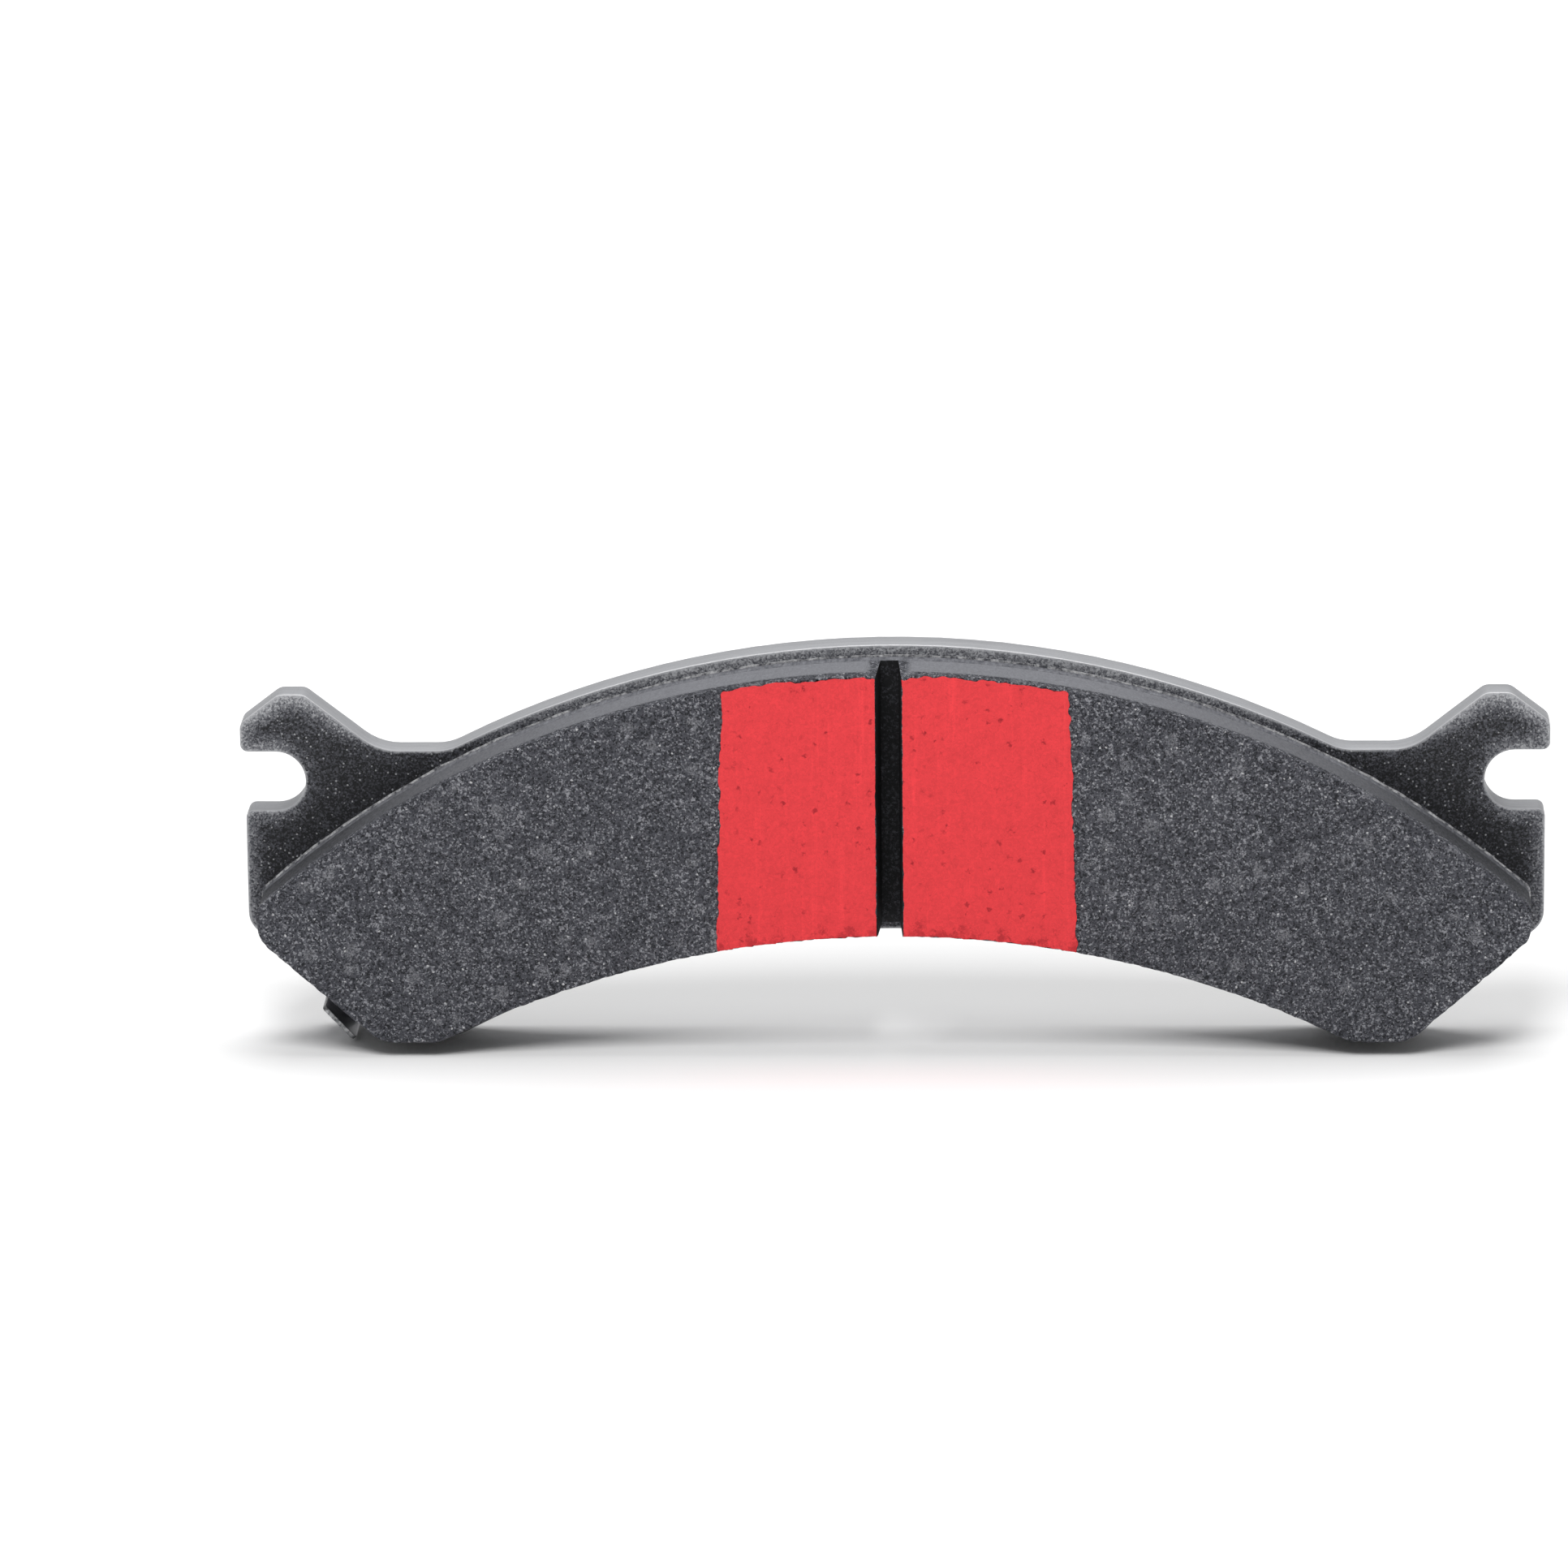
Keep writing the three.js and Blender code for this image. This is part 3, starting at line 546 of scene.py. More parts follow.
def bedding_paint(colours):
    """Thin red bedding paint, brushed on to the ground face: matt, soaked in here and there, above all along
    the arch, and pitted where it bridges a torn-out grain."""
    material, tree, point = begin("red_bedding_paint")
    torn = crooked(tree, point, 1.6, 0.8)
    fine = speckle(tree, torn, 3.4)
    soft = add(tree, "TexNoise", {"Vector": point, "Scale": 2.2, "Detail": 5.0, "Roughness": 0.75})
    streaks = drawn_out(tree, point, (1.0, 1.0, 0.04), 0.7, 4.0, 0.8)
    blotch = add(tree, "TexNoise", {"Vector": torn, "Scale": 0.42, "Detail": 6.0, "Roughness": 0.75})
    across = add(tree, "SeparateXYZ", {"Vector": point}, output="X")
    squared = add(tree, "Math", across, across, operation="MULTIPLY")
    arch = add(tree, "Math", squared, -1 / ARCH_SPREAD, ARCH_CROWN, operation="MULTIPLY_ADD")
    from_arch = add(tree, "Math", across.node.outputs["Z"], arch, operation="SUBTRACT")
    at_arch = add(tree, "MapRange", from_arch, 3.2, 0.2, 0.0, 0.17)
    stain = add(tree, "MapRange", add(tree, "Math", blotch, at_arch, operation="ADD"), 0.62, 0.72)
    pit = scattered(tree, torn, 0.6, (0.28, 0.12), (0.4, 0.9))
    shade = coated(tree, colours.bedding, stain, 0.6, colours.bedding_stain)
    shade = coated(tree, shade, pit, 0.9, colours.bedding_stain)
    brushed = add(tree, "MapRange", streaks, 0.54, 0.7, 0.0, 0.12)
    grainy = add(tree, "MapRange", fine, 0.0, 1.0, 0.9, 1.06)
    soaked = add(tree, "MapRange", blotch, 0.3, 0.7, 0.05, -0.08)
    value = weighted(tree, (brushed, 1.0), (grainy, 1.0), (soaked, 1.0))
    shade = add(tree, "HueSaturation", {"Color": shade, "Value": value})
    relief = weighted(tree, (soft, 1.0), (fine, 0.4), (pit, -1.0))
    finish_surface(tree, shade, 0.72, relief, 0.4, 0.1, specular=0.2)
    return material


def blasted_face(colours):
    """The plate's lining side: grit-blasted steel with a mist of silver paint. Paint caught on the grains,
    with painted glints on it, gives bright pinpoints on near black; the mist is thicker out at the edges than
    beside the lining, and a ragged painted highlight runs along the outline. The grit is drawn about a
    quarter of a millimetre across, a little coarse, so that it shows."""
    material, tree, point = begin("blasted_steel_with_overspray")
    fine = speckle(tree, point, FINE_GRAINS)
    soft = add(tree, "TexNoise", {"Vector": point, "Scale": 2.6, "Detail": 4.0, "Roughness": 0.75})
    edge = add(tree, "Attribute", output="Fac", attribute_name="edge_mm")
    lining = add(tree, "Attribute", output="Fac", attribute_name="lining_mm")
    # The mist is thin beside the slots' inner ends and thick along the crown.
    places = add(tree, "SeparateXYZ", {"Vector": point}, output="X")
    upright = places.node.outputs["Z"]
    outboard = add(tree, "MapRange", add(tree, "Math", places, operation="ABSOLUTE"), 90.0, 95.0)
    outer = add(tree, "Math", outboard, add(tree, "MapRange", upright, 46.5, 48.5), operation="MAXIMUM")
    open_side = add(tree, "MapRange", outer, 0.0, 1.0, 0.3, 1.0)
    at_edge = add(tree, "MapRange", edge, 3.2, 0.0, 0.0, 0.5)
    away = add(tree, "MapRange", lining, 2.0, 28.0, 0.0, 0.22)
    crown = add(tree, "MapRange", upright, 50.0, 58.0, 0.0, 0.25)
    mist = weighted(tree, (away, 1.0), (at_edge, open_side), (crown, 1.0))
    grain = weighted(tree, (fine, 0.5), (soft, 0.5))
    lit = add(tree, "Math", grain, mist, operation="ADD")
    shade = add(
        tree,
        "ValToRGB",
        {"Fac": add(tree, "Math", lit, 0.75, operation="MULTIPLY")},
        stops=[
            (0.36, colours.blast_dark),
            (0.58, colours.friction_mid),
            (0.82, colours.blast_light),
            (1.0, colours.edge_light),
        ],
    )
    # A ragged painted highlight along the face's outline.
    edge_highlight = add(tree, "MapRange", add(tree, "Math", edge, soft, operation="ADD"), 0.95, 0.65)
    shade = coated(tree, shade, edge_highlight, 0.75, colours.edge_light)
    # Bright pinpoints: paint specks on the grains, with painted glints.
    glint = scattered(tree, point, 1.6, (0.3, 0.16), (0.7, 0.78))
    shade = coated(tree, shade, glint, 0.6, colours.paint_light)
    finish_surface(tree, shade, 0.55, grain, 0.8, 0.12, metallic=0.25, specular=0.4)
    return material


def sheared_wall(colours):
    """The plate's sheared and tumbled wall under silver paint: pale, even, with faint lines along it."""
    material, tree, point = begin("painted_sheared_wall")
    lines = drawn_out(tree, point, (0.12, 2.2, 0.12), 1.0, 4.0)
    grain = add(tree, "TexNoise", {"Vector": point, "Scale": 4.0, "Detail": 3.0, "Roughness": 0.7})
    share = weighted(tree, (lines, 0.6), (grain, 0.5))
    shade = graded(tree, share, 0.2, 0.62, colours.paint_dark, colours.edge_light)
    places = add(tree, "SeparateXYZ", {"Vector": point}, output="Y")
    behind = add(tree, "Math", places, PLATE_LOW.y / MM, operation="SUBTRACT")
    burr_highlight = add(tree, "MapRange", add(tree, "Math", behind, grain, operation="ADD"), 1.0, 0.65)
    # The bright line along the front edge is the shear's raised edge with a painted highlight on it:
    # strongest along the crown, where the light falls from above, and faint round the ears.
    crown = add(tree, "MapRange", places.node.outputs["Z"], 46.0, 55.0, 0.2, 1.0)
    shade = coated(tree, shade, burr_highlight, crown, colours.burr_highlight)
    finish_surface(tree, shade, 0.5, share, 0.35, 0.05, metallic=0.3)
    return material


def crackle_paint(colours, sizes):
    """The plate's back: thick silver paint baked until it drew up into scales, with fine dark crevices
    between them. It is smoother where the press rolled the edge, and there it is painted brighter, as a
    painted highlight on the roll."""
    material, tree, point = begin("baked_crackle_paint")
    warp = add(tree, "TexNoise", {"Vector": point, "Scale": 0.7, "Detail": 3.0}, output="Color")
    bent = add(tree, "VectorMath", warp, (1.1, 1.1, 1.1), point, operation="MULTIPLY_ADD")
    per_mm = MM / sizes.crackle
    gap = add(tree, "TexVoronoi", {"Vector": bent, "Scale": per_mm}, feature="DISTANCE_TO_EDGE")
    tone = speckle(tree, bent, per_mm)
    broken = add(tree, "TexNoise", {"Vector": point, "Scale": 0.9, "Detail": 2.0})
    width = add(tree, "MapRange", broken, 0.46, 0.66, 0.035, -0.05)
    crevice = add(tree, "MapRange", add(tree, "Math", gap, width, operation="SUBTRACT"), 0.035, 0.0)
    edge = add(tree, "Attribute", output="Fac", attribute_name="edge_mm")
    # Near the outline the paint has fewer crevices and is painted brighter: a painted highlight on the rolled
    # edge.
    rolled = add(tree, "MapRange", edge, 0.9, 0.3)
    unrolled = add(tree, "MapRange", rolled, 0.0, 1.0, 1.0, 0.15)
    crevice = add(tree, "Math", crevice, unrolled, operation="MULTIPLY")
    grain = add(tree, "TexNoise", {"Vector": point, "Scale": 5.0, "Detail": 3.0, "Roughness": 0.7})
    share = weighted(tree, (tone, 0.35), (grain, 0.7), (rolled, 0.5))
    shade = graded(tree, share, 0.25, 0.95, colours.paint_dark, colours.paint_light)
    shade = coated(tree, shade, crevice, 0.7, colours.paint_crevice)
    dome = add(tree, "MapRange", gap, 0.0, 0.26)
    relief = weighted(tree, (dome, 1.0), (grain, 0.2), (crevice, -0.6))
    finish_surface(tree, shade, 0.42, relief, 1.0, 0.32, metallic=0.35)
    return material


def cured_glue(colours):
    """Cured phenolic adhesive squeezed out at the lining's foot: pale, dull and a little uneven."""
    material, tree, point = begin("cured_adhesive")
    soft = add(tree, "TexNoise", {"Vector": point, "Scale": 0.8, "Detail": 5.0, "Roughness": 0.7})
    shade = graded(tree, soft, 0.4, 0.62, colours.friction_mid, colours.glue)
    finish_surface(tree, shade, 0.6, soft, 0.4, 0.05)
    return material


def woven_rubber(colours, sizes):
    """Nitrile rubber with a fabric pressed into it while it cured: rows of small raised dots, each row half a
    pitch along from the last, near black with a painted sheen on the dots that is stronger in patches. The
    real pitch is about half a millimetre; it is drawn coarser, so that it still reads when the whole pad is
    in view."""
    material, tree, point = begin("fabric_pressed_rubber")
    pitch = math.tau * MM / sizes.weave
    ordinates = add(tree, "SeparateXYZ", {"Vector": point})
    across = add(tree, "Math", add(tree, "Math", ordinates, pitch, operation="MULTIPLY"), operation="SINE")
    upright = add(tree, "Math", ordinates.node.outputs["Z"], pitch * 0.93, operation="MULTIPLY")
    dots = add(tree, "Math", across, add(tree, "Math", upright, operation="SINE"), operation="MULTIPLY")
    raised = add(tree, "MapRange", dots, -0.1, 0.8)
    # Patches where the painted sheen on the dots is stronger.
    wear_and_sheen = add(tree, "TexNoise", {"Vector": point, "Scale": 0.25, "Detail": 4.0})
    sheen = add(tree, "MapRange", wear_and_sheen, 0.3, 0.7, 0.5, 1.0)
    shade = coated(tree, colours.rubber, raised, sheen, colours.rubber_high)
    finish_surface(tree, shade, 0.65, dots, 0.5, 0.06, specular=0.05)
    return material


def plain_rubber(colours):
    """The damping rubber inside the shim: black, matt, cut edge."""
    material, tree, point = begin("cut_damping_rubber")
    soft = add(tree, "TexNoise", {"Vector": point, "Scale": 1.5, "Detail": 3.0})
    shade = graded(tree, soft, 0.4, 0.7, colours.rubber, colours.rubber_high)
    finish_surface(tree, shade, 0.8, soft, 0.3, 0.04)
    return material


def cut_steel(colours, name):
    """Sheet steel where the die sheared it: a bright, finely scored line."""
    material, tree, point = begin(name)
    scores = drawn_out(tree, point, (1.0, 0.1, 1.0), 1.4, 5.0, 0.7)
    shade = graded(tree, scores, 0.38, 0.58, colours.zinc_dark, colours.shim_steel)
    finish_surface(tree, shade, 0.38, scores, 0.3, 0.04, metallic=0.9)
    return material


def zinc_plate(colours, name, dent):
    """Zinc-plated steel, upset cold: mottled grey patches with worn, shinier high spots."""
    material, tree, point = begin(name)
    patches = add(tree, "TexNoise", {"Vector": point, "Scale": 0.9, "Detail": 6.0, "Roughness": 0.75})
    grain = add(tree, "TexNoise", {"Vector": point, "Scale": 4.5, "Detail": 4.0, "Roughness": 0.7})
    share = weighted(tree, (patches, 0.6), (grain, 0.4))
    shade = graded(tree, share, 0.38, 0.62, colours.zinc_dark, colours.zinc_light)
    rough = add(tree, "MapRange", share, 0.4, 0.6, 0.62, 0.42)
    finish_surface(tree, shade, rough, share, 0.6, dent, metallic=0.8)
    return material


def rolled_spring_steel(colours):
    """Bare rolled spring steel: fine lines the way the strip was rolled, a rougher band short of the crest
    with a painted dark reflection on it, painted shade on the flat base, a crumpled painted highlight along
    the bend, plain bright steel on the crest, and dull mill oxide with painted shade on the inner side."""
    material, tree, point = begin("rolled_spring_steel")
    along = add(tree, "Attribute", output="Fac", attribute_name="along_mm")
    across = add(tree, "Attribute", output="Fac", attribute_name="across_mm")
    strip = add(tree, "CombineXYZ", {"X": add(tree, "Math", along, 0.12, operation="MULTIPLY"), "Y": across})
    lines = add(tree, "TexNoise", {"Vector": strip, "Scale": 3.5, "Detail": 4.0, "Roughness": 0.65})
    blotch = add(tree, "TexNoise", {"Vector": point, "Scale": 0.5, "Detail": 4.0})
    crumple = add(tree, "TexNoise", {"Vector": point, "Scale": 2.4, "Detail": 5.0, "Roughness": 0.8})
    away = add(tree, "Math", weighted(tree, (along, 1.0), (crumple, -0.5)), operation="ABSOLUTE")
    # A crumpled painted highlight along the bend, which also crumples the bump.
    bend = add(tree, "MapRange", away, 0.55, 0.1)
    # A band short of the crest: rougher, and painted dark as a painted reflection.
    uneven = add(tree, "Math", along, crumple, operation="ADD")
    band_rise, band_fall = (add(tree, "MapRange", uneven, *band) for band in ((3.9, 5.2), (6.6, 5.9)))
    dull_reflection_band = add(tree, "Math", band_rise, band_fall, operation="MULTIPLY")
    # Painted shade on the flat base, which catches less light than the ramp.
    base = add(tree, "MapRange", along, -0.3, 0.1, 1.0, 0.0)
    share = weighted(tree, (lines, 0.5), (blotch, 0.5))
    share = add(tree, "MapRange", share, 0.35, 0.62)
    # The base's painted shade and the band's painted reflection darken the steel.
    dull = add(tree, "Math", dull_reflection_band, base, operation="MAXIMUM")
    share = weighted(tree, (share, 1.0), (dull, -0.75), (bend, crumple))
    shade = graded(tree, share, -0.2, 0.9, colours.spring_dark, colours.spring_light)
    relief = weighted(tree, (lines, 0.3), (bend, crumple))
    # The inner side: dull mill oxide, with painted shade and a painted reflection of the dark lining.
    inner = add(tree, "Attribute", output="Fac", attribute_name="inner_side")
    shade = coated(tree, shade, add(tree, "MapRange", inner, 0.88, 0.99), 0.9, colours.oxide_and_shade)
    rough = add(tree, "MapRange", dull_reflection_band, 0.0, 1.0, 0.34, 0.55)
    finish_surface(tree, shade, rough, relief, 0.5, 0.1, metallic=0.85)
    return material


def studio_floor(colours):
    """Pale matt sheet that glows as painted light, more strongly farther from the middle and not at all in
    the middle, where the pad's shadow falls.
    """
    material, tree, point = begin("glowing_floor_sheet")
    cloud = add(tree, "TexNoise", {"Vector": point, "Scale": 0.004, "Detail": 2.0})
    paler = tuple(min(1.0, channel * 1.02) for channel in colours.floor)
    shade = add(tree, "Mix", {0: cloud, 6: colours.floor, 7: paler}, output=2, data_type="RGBA")
    away = add(tree, "VectorMath", {0: point}, output="Value", operation="LENGTH")
    shader = add(
        tree,
        "BsdfPrincipled",
        {
            "Base Color": shade,
            "Roughness": 0.9,
            "Specular IOR Level": 0.1,
            "Emission Color": (1.0, 1.0, 1.0, 1.0),
            # Painted light: the floor glows more the farther it is from the pad, so that it reads white away
            # from the shadow.
            "Emission Strength": add(tree, "MapRange", away, 130.0, 600.0, 0.0, 0.6),
        },
    )
    add(tree, "OutputMaterial", {"Surface": shader})
    return material


# ---- Pieces -------------------------------------------------------------------------------------


class BRAKEPAD_OT_backing_plate(bpy.types.Operator):
    """Makes the pressed steel plate with its rolled edges, blasted front and crackled back."""

    bl_idname = "brakepad.backing_plate"
    bl_label = "Backing Plate"

    def execute(self, context):
        sizes, colours = context.scene.brake_pad.sizes, context.scene.brake_pad.colours
        bm = welded_copy("backing_plate")
        glue = welded_copy("bond_layer")
        glue_tree = BVHTree.FromBMesh(glue)
        glue.free()
        walls = welded_copy("backing_plate")
        not_outline = []
        for face in walls.faces:
            middle = face.calc_center_median()
            level = Vector((middle.x, PLATE_LOW.y, middle.z))
            behind_glue = glue_tree.find_nearest(level, TUCKED)[0] is not None
            if abs(face.normal.y) > 0.5 or behind_glue:
                not_outline.append(face)
        bmesh.ops.delete(walls, geom=not_outline, context="FACES")
        wall_tree = BVHTree.FromBMesh(walls)
        walls.free()

        bevel_edges(bm, rim(bm, PLATE_LOW.y), sizes.plate_front_roll, 2)
        bevel_edges(bm, rim(bm, PLATE_HIGH.y), sizes.plate_back_roll, 4)
        slice_grid(bm, sizes.plate_cell)
        edge_layer = bm.verts.layers.float.new("edge_mm")
        lining_layer = bm.verts.layers.float.new("lining_mm")
        for vert in bm.verts:
            level = Vector((vert.co.x, PLATE_LOW.y, vert.co.z))
            for layer, tree, point in ((edge_layer, wall_tree, vert.co), (lining_layer, glue_tree, level)):
                hit = tree.find_nearest(point, FAR)
                vert[layer] = (hit[3] if hit[0] else FAR) / MM
        bm.normal_update()
        for face in bm.faces:
            if face.normal.y < -0.9:
                face.material_index = 0
            elif face.normal.y > 0.35:
                face.material_index = 2
            else:
                face.material_index = 1
        for vert in bm.verts:
            if vert.co.y > PLATE_HIGH.y - 0.7 * sizes.plate_back_roll and vert.normal.y > 0.3:
                sink = 0.5 + 0.5 * lumps(vert.co, millimetres(3.2), 4.0)
                sink += 0.3 * lumps(vert.co, millimetres(1.3), 9.0)
                vert.co -= vert.normal * max(0.0, sink) * sizes.plate_wave
            elif abs(vert.normal.y) < 0.5:
                along_wall = Vector((vert.co.x, vert.co.y * 0.2, vert.co.z))
                sink = 0.5 + 0.5 * lumps(along_wall, millimetres(5.0), 2.0)
                vert.co -= vert.normal * max(0.0, sink) * sizes.plate_wave * 0.6
        finishes = [blasted_face(colours), sheared_wall(colours), crackle_paint(colours, sizes)]
        place(bm, "pressed_backing_plate", "pad", ["backing_plate"], finishes, "plate_paint")
        return {"FINISHED"}


class BRAKEPAD_OT_lining(bpy.types.Operator):
    """Makes the two ground lining blocks, the underlayer and the line of glue at their foot."""

    bl_idname = "brakepad.lining"
    bl_label = "Lining"

    def execute(self, context):
        sizes, colours = context.scene.brake_pad.sizes, context.scene.brake_pad.colours
        mix, groove = friction_mix(colours), groove_wall(colours)
        for side in ("left", "right"):
            node = f"lining_{side}"
            bm = welded_copy(node)
            bevel_edges(bm, rim(bm, LINING_FACE), sizes.lining_edge, 2)
            for back in (0.55, 1.2):
                slice_at(bm, 1, LINING_FACE + millimetres(back))
            slice_grid(bm, sizes.lining_cell)
            bm.normal_update()
            for face in bm.faces:
                middle = face.calc_center_median()
                in_groove = abs(middle.x - GROOVE_MIDDLE) < GROOVE_SIDE and abs(face.normal.x) > 0.7
                face.material_index = 1 if in_groove else 0
            for vert in bm.verts:
                self.wear(vert, sizes)
                tear_corner(vert, sizes.groove_tear)
            place(bm, f"ground_lining_{side}", "pad", [node], [mix, groove], "friction_material", angle=50)

        bm, finishes = welded_copy("underlayer"), [pressed_skin(colours)]
        place(bm, "moulded_underlayer", "pad", ["underlayer"], finishes, "underlayer", crisp=True)

        bm = welded_copy("bond_layer")
        slice_grid(bm, millimetres(0.9))
        bm.normal_update()
        for vert in bm.verts:
            if abs(vert.normal.y) < 0.9:
                outward = Vector((vert.normal.x, 0, vert.normal.z))
                wander = lumps(vert.co, millimetres(2.6), 3.0) + 0.7 * lumps(vert.co, millimetres(9.0), 5.0)
                vert.co += outward * max(0.0, 0.8 + 1.4 * wander) * sizes.glue_ragged
        place(bm, "adhesive_line", "pad", ["bond_layer"], [cured_glue(colours)], "adhesive")
        return {"FINISHED"}

    @staticmethod
    def wear(vert, sizes):
        """Sinks one corner of the mesh: pits in the face, chips along its edge, a wave down the wall."""
        behind = vert.co.y - LINING_FACE
        facing = -vert.normal.y
        if behind > WALL_START:
            if facing > -0.5 and behind < WALL_END:
                vert.co -= vert.normal * abs(lumps(vert.co, millimetres(3.0), 1.0)) * WALL_WAVE
            return
        pit = max(0.0, lumps(vert.co, millimetres(1.1), 7.0) - 0.22) * 1.6
        pit += max(0.0, lumps(vert.co, millimetres(2.6), 8.0) - 0.3)
        pit += 0.25 * abs(lumps(vert.co, millimetres(0.7), 6.0))
        if facing > 0.95:
            vert.co.y += min(1.0, pit) * sizes.lining_pit
            return
        chip = max(0.0, lumps(vert.co, millimetres(1.3), 2.0))
        chip += 0.6 * max(0.0, lumps(vert.co, millimetres(0.8), 5.0))
        chip += 1.5 * max(0.0, lumps(vert.co, millimetres(5.0), 3.0) - 0.3)
        fade = max(0.0, 1.0 - behind / CHIP_BACK)
        vert.co -= vert.normal * min(1.2, chip) * fade * sizes.lining_chip


class BRAKEPAD_OT_bedding_coats(bpy.types.Operator):
    """Makes the two patches of red bedding paint, one on each side of the groove."""

    bl_idname = "brakepad.bedding_coats"
    bl_label = "Bedding Coats"

    def execute(self, context):
        sizes, colours = context.scene.brake_pad.sizes, context.scene.brake_pad.colours
        paint = bedding_paint(colours)
        for side in ("left", "right"):
            node = f"bedding_coat_{side}"
            low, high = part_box(node)
            groove_side = high.x if side == "left" else low.x
            bm = welded_copy(node)
            slice_grid(bm, sizes.lining_cell)
            bm.normal_update()
            for vert in bm.verts:
                tear_corner(vert, sizes.groove_tear)
                pit = max(0.0, lumps(vert.co, millimetres(1.1), 7.0) - 0.22)
                if abs(vert.normal.y) > 0.95:
                    if vert.normal.y < 0:
                        vert.co.y += min(1.0, pit) * 0.4 * abs(COAT_FACE - LINING_FACE)
                    continue
                inward = -Vector((vert.normal.x, 0, vert.normal.z)).normalized()
                at_groove = abs(vert.co.x - groove_side) < millimetres(0.3)
                at_arch = vert.normal.z < -0.5
                flat = Vector((vert.co.x, 0, vert.co.z))
                wander = lumps(flat, millimetres(1.4), 11.0) + 0.7 * lumps(flat, millimetres(0.8), 12.0)
                if at_groove or at_arch:
                    vert.co += inward * (sizes.coat_bare_edge + max(0.0, wander) * 0.7 * sizes.coat_ragged)
                else:
                    wander += 0.8 * lumps(flat, millimetres(7.0), 13.0)
                    vert.co += inward * wander * sizes.coat_ragged
            place(bm, f"painted_{node}", "pad", [node], [paint], "bedding_paint")
        return {"FINISHED"}


class BRAKEPAD_OT_shim(bpy.types.Operator):
    """Makes the shim's rubber coat and steel core, and finishes its two inner layers."""

    bl_idname = "brakepad.shim"
    bl_label = "Damping Shim"

    def execute(self, context):
        sizes, colours = context.scene.brake_pad.sizes, context.scene.brake_pad.colours
        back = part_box("shim_rubber_coat")[1].y
        bm = welded_copy("shim_rubber_coat")
        bm.normal_update()
        for vert in bm.verts:
            outward = Vector((vert.normal.x, 0, vert.normal.z)).normalized()
            vert.co -= outward * sizes.shim_trim
        bevel_edges(bm, rim(bm, back), sizes.shim_edge, 2)
        weave = [woven_rubber(colours, sizes)]
        place(bm, "woven_shim_coat", "pad", ["shim_rubber_coat"], weave, "shim_rubber", crisp=True)
        steel = cut_steel(colours, "sheared_cold_rolled_steel")
        bm = welded_copy("shim_steel_core")
        bevel_edges(bm, rim(bm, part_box("shim_steel_core")[1].y), millimetres(0.05), 1)
        place(bm, "sheared_shim_core", "pad", ["shim_steel_core"], [steel], "shim_steel", crisp=True)
        for node, finish in (
            ("shim_adhesive_film", cured_glue(colours)),
            ("shim_rubber_cushion", plain_rubber(colours)),
        ):
            frame["nodes"][node].data.materials.clear()
            frame["nodes"][node].data.materials.append(finish)
        return {"FINISHED"}


class BRAKEPAD_OT_studs(bpy.types.Operator):
    """Makes the four upset studs that come through the shim."""

    bl_idname = "brakepad.studs"
    bl_label = "Shim Studs"

    def execute(self, context):
        sizes, colours = context.scene.brake_pad.sizes, context.scene.brake_pad.colours
        finish = zinc_plate(colours, "upset_zinc_plated_stud", 0.06)
        for place_name in ("left_end", "left_middle", "right_middle", "right_end"):
            node = f"shim_stud_{place_name}"
            low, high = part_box(node)
            centre = (low + high) / 2
            radius = (high.x - low.x) / 2
            edge = sizes.stud_edge
            shank = radius * STUD_SHANK
            corner = [
                (radius - edge + edge * math.sin(turn), high.y - edge + edge * math.cos(turn))
                for turn in (math.radians(angle) for angle in STUD_CORNER)
            ]
            top = [(radius * share, high.y - STUD_SINK) for share in STUD_RINGS]
            foot = [(0.0, low.y), (shank, low.y), (shank, PLATE_HIGH.y), (radius, PLATE_HIGH.y)]
            bm = turned(foot + corner + top, sizes.turned_steps)
            bmesh.ops.translate(bm, verts=bm.verts, vec=(centre.x, 0, centre.z))
            bm.normal_update()
            for vert in bm.verts:
                if vert.normal.y > 0.5 and vert.co.y > high.y - edge:
                    dent = 0.4 + lumps(vert.co, millimetres(1.6), 2.0)
                    dent += 0.5 * lumps(vert.co, millimetres(0.7))
                    vert.co.y -= max(0.0, dent) * sizes.stud_dent
            place(bm, f"upset_stud_{place_name}", "pad", [node], [finish], "stud_steel")
        return {"FINISHED"}


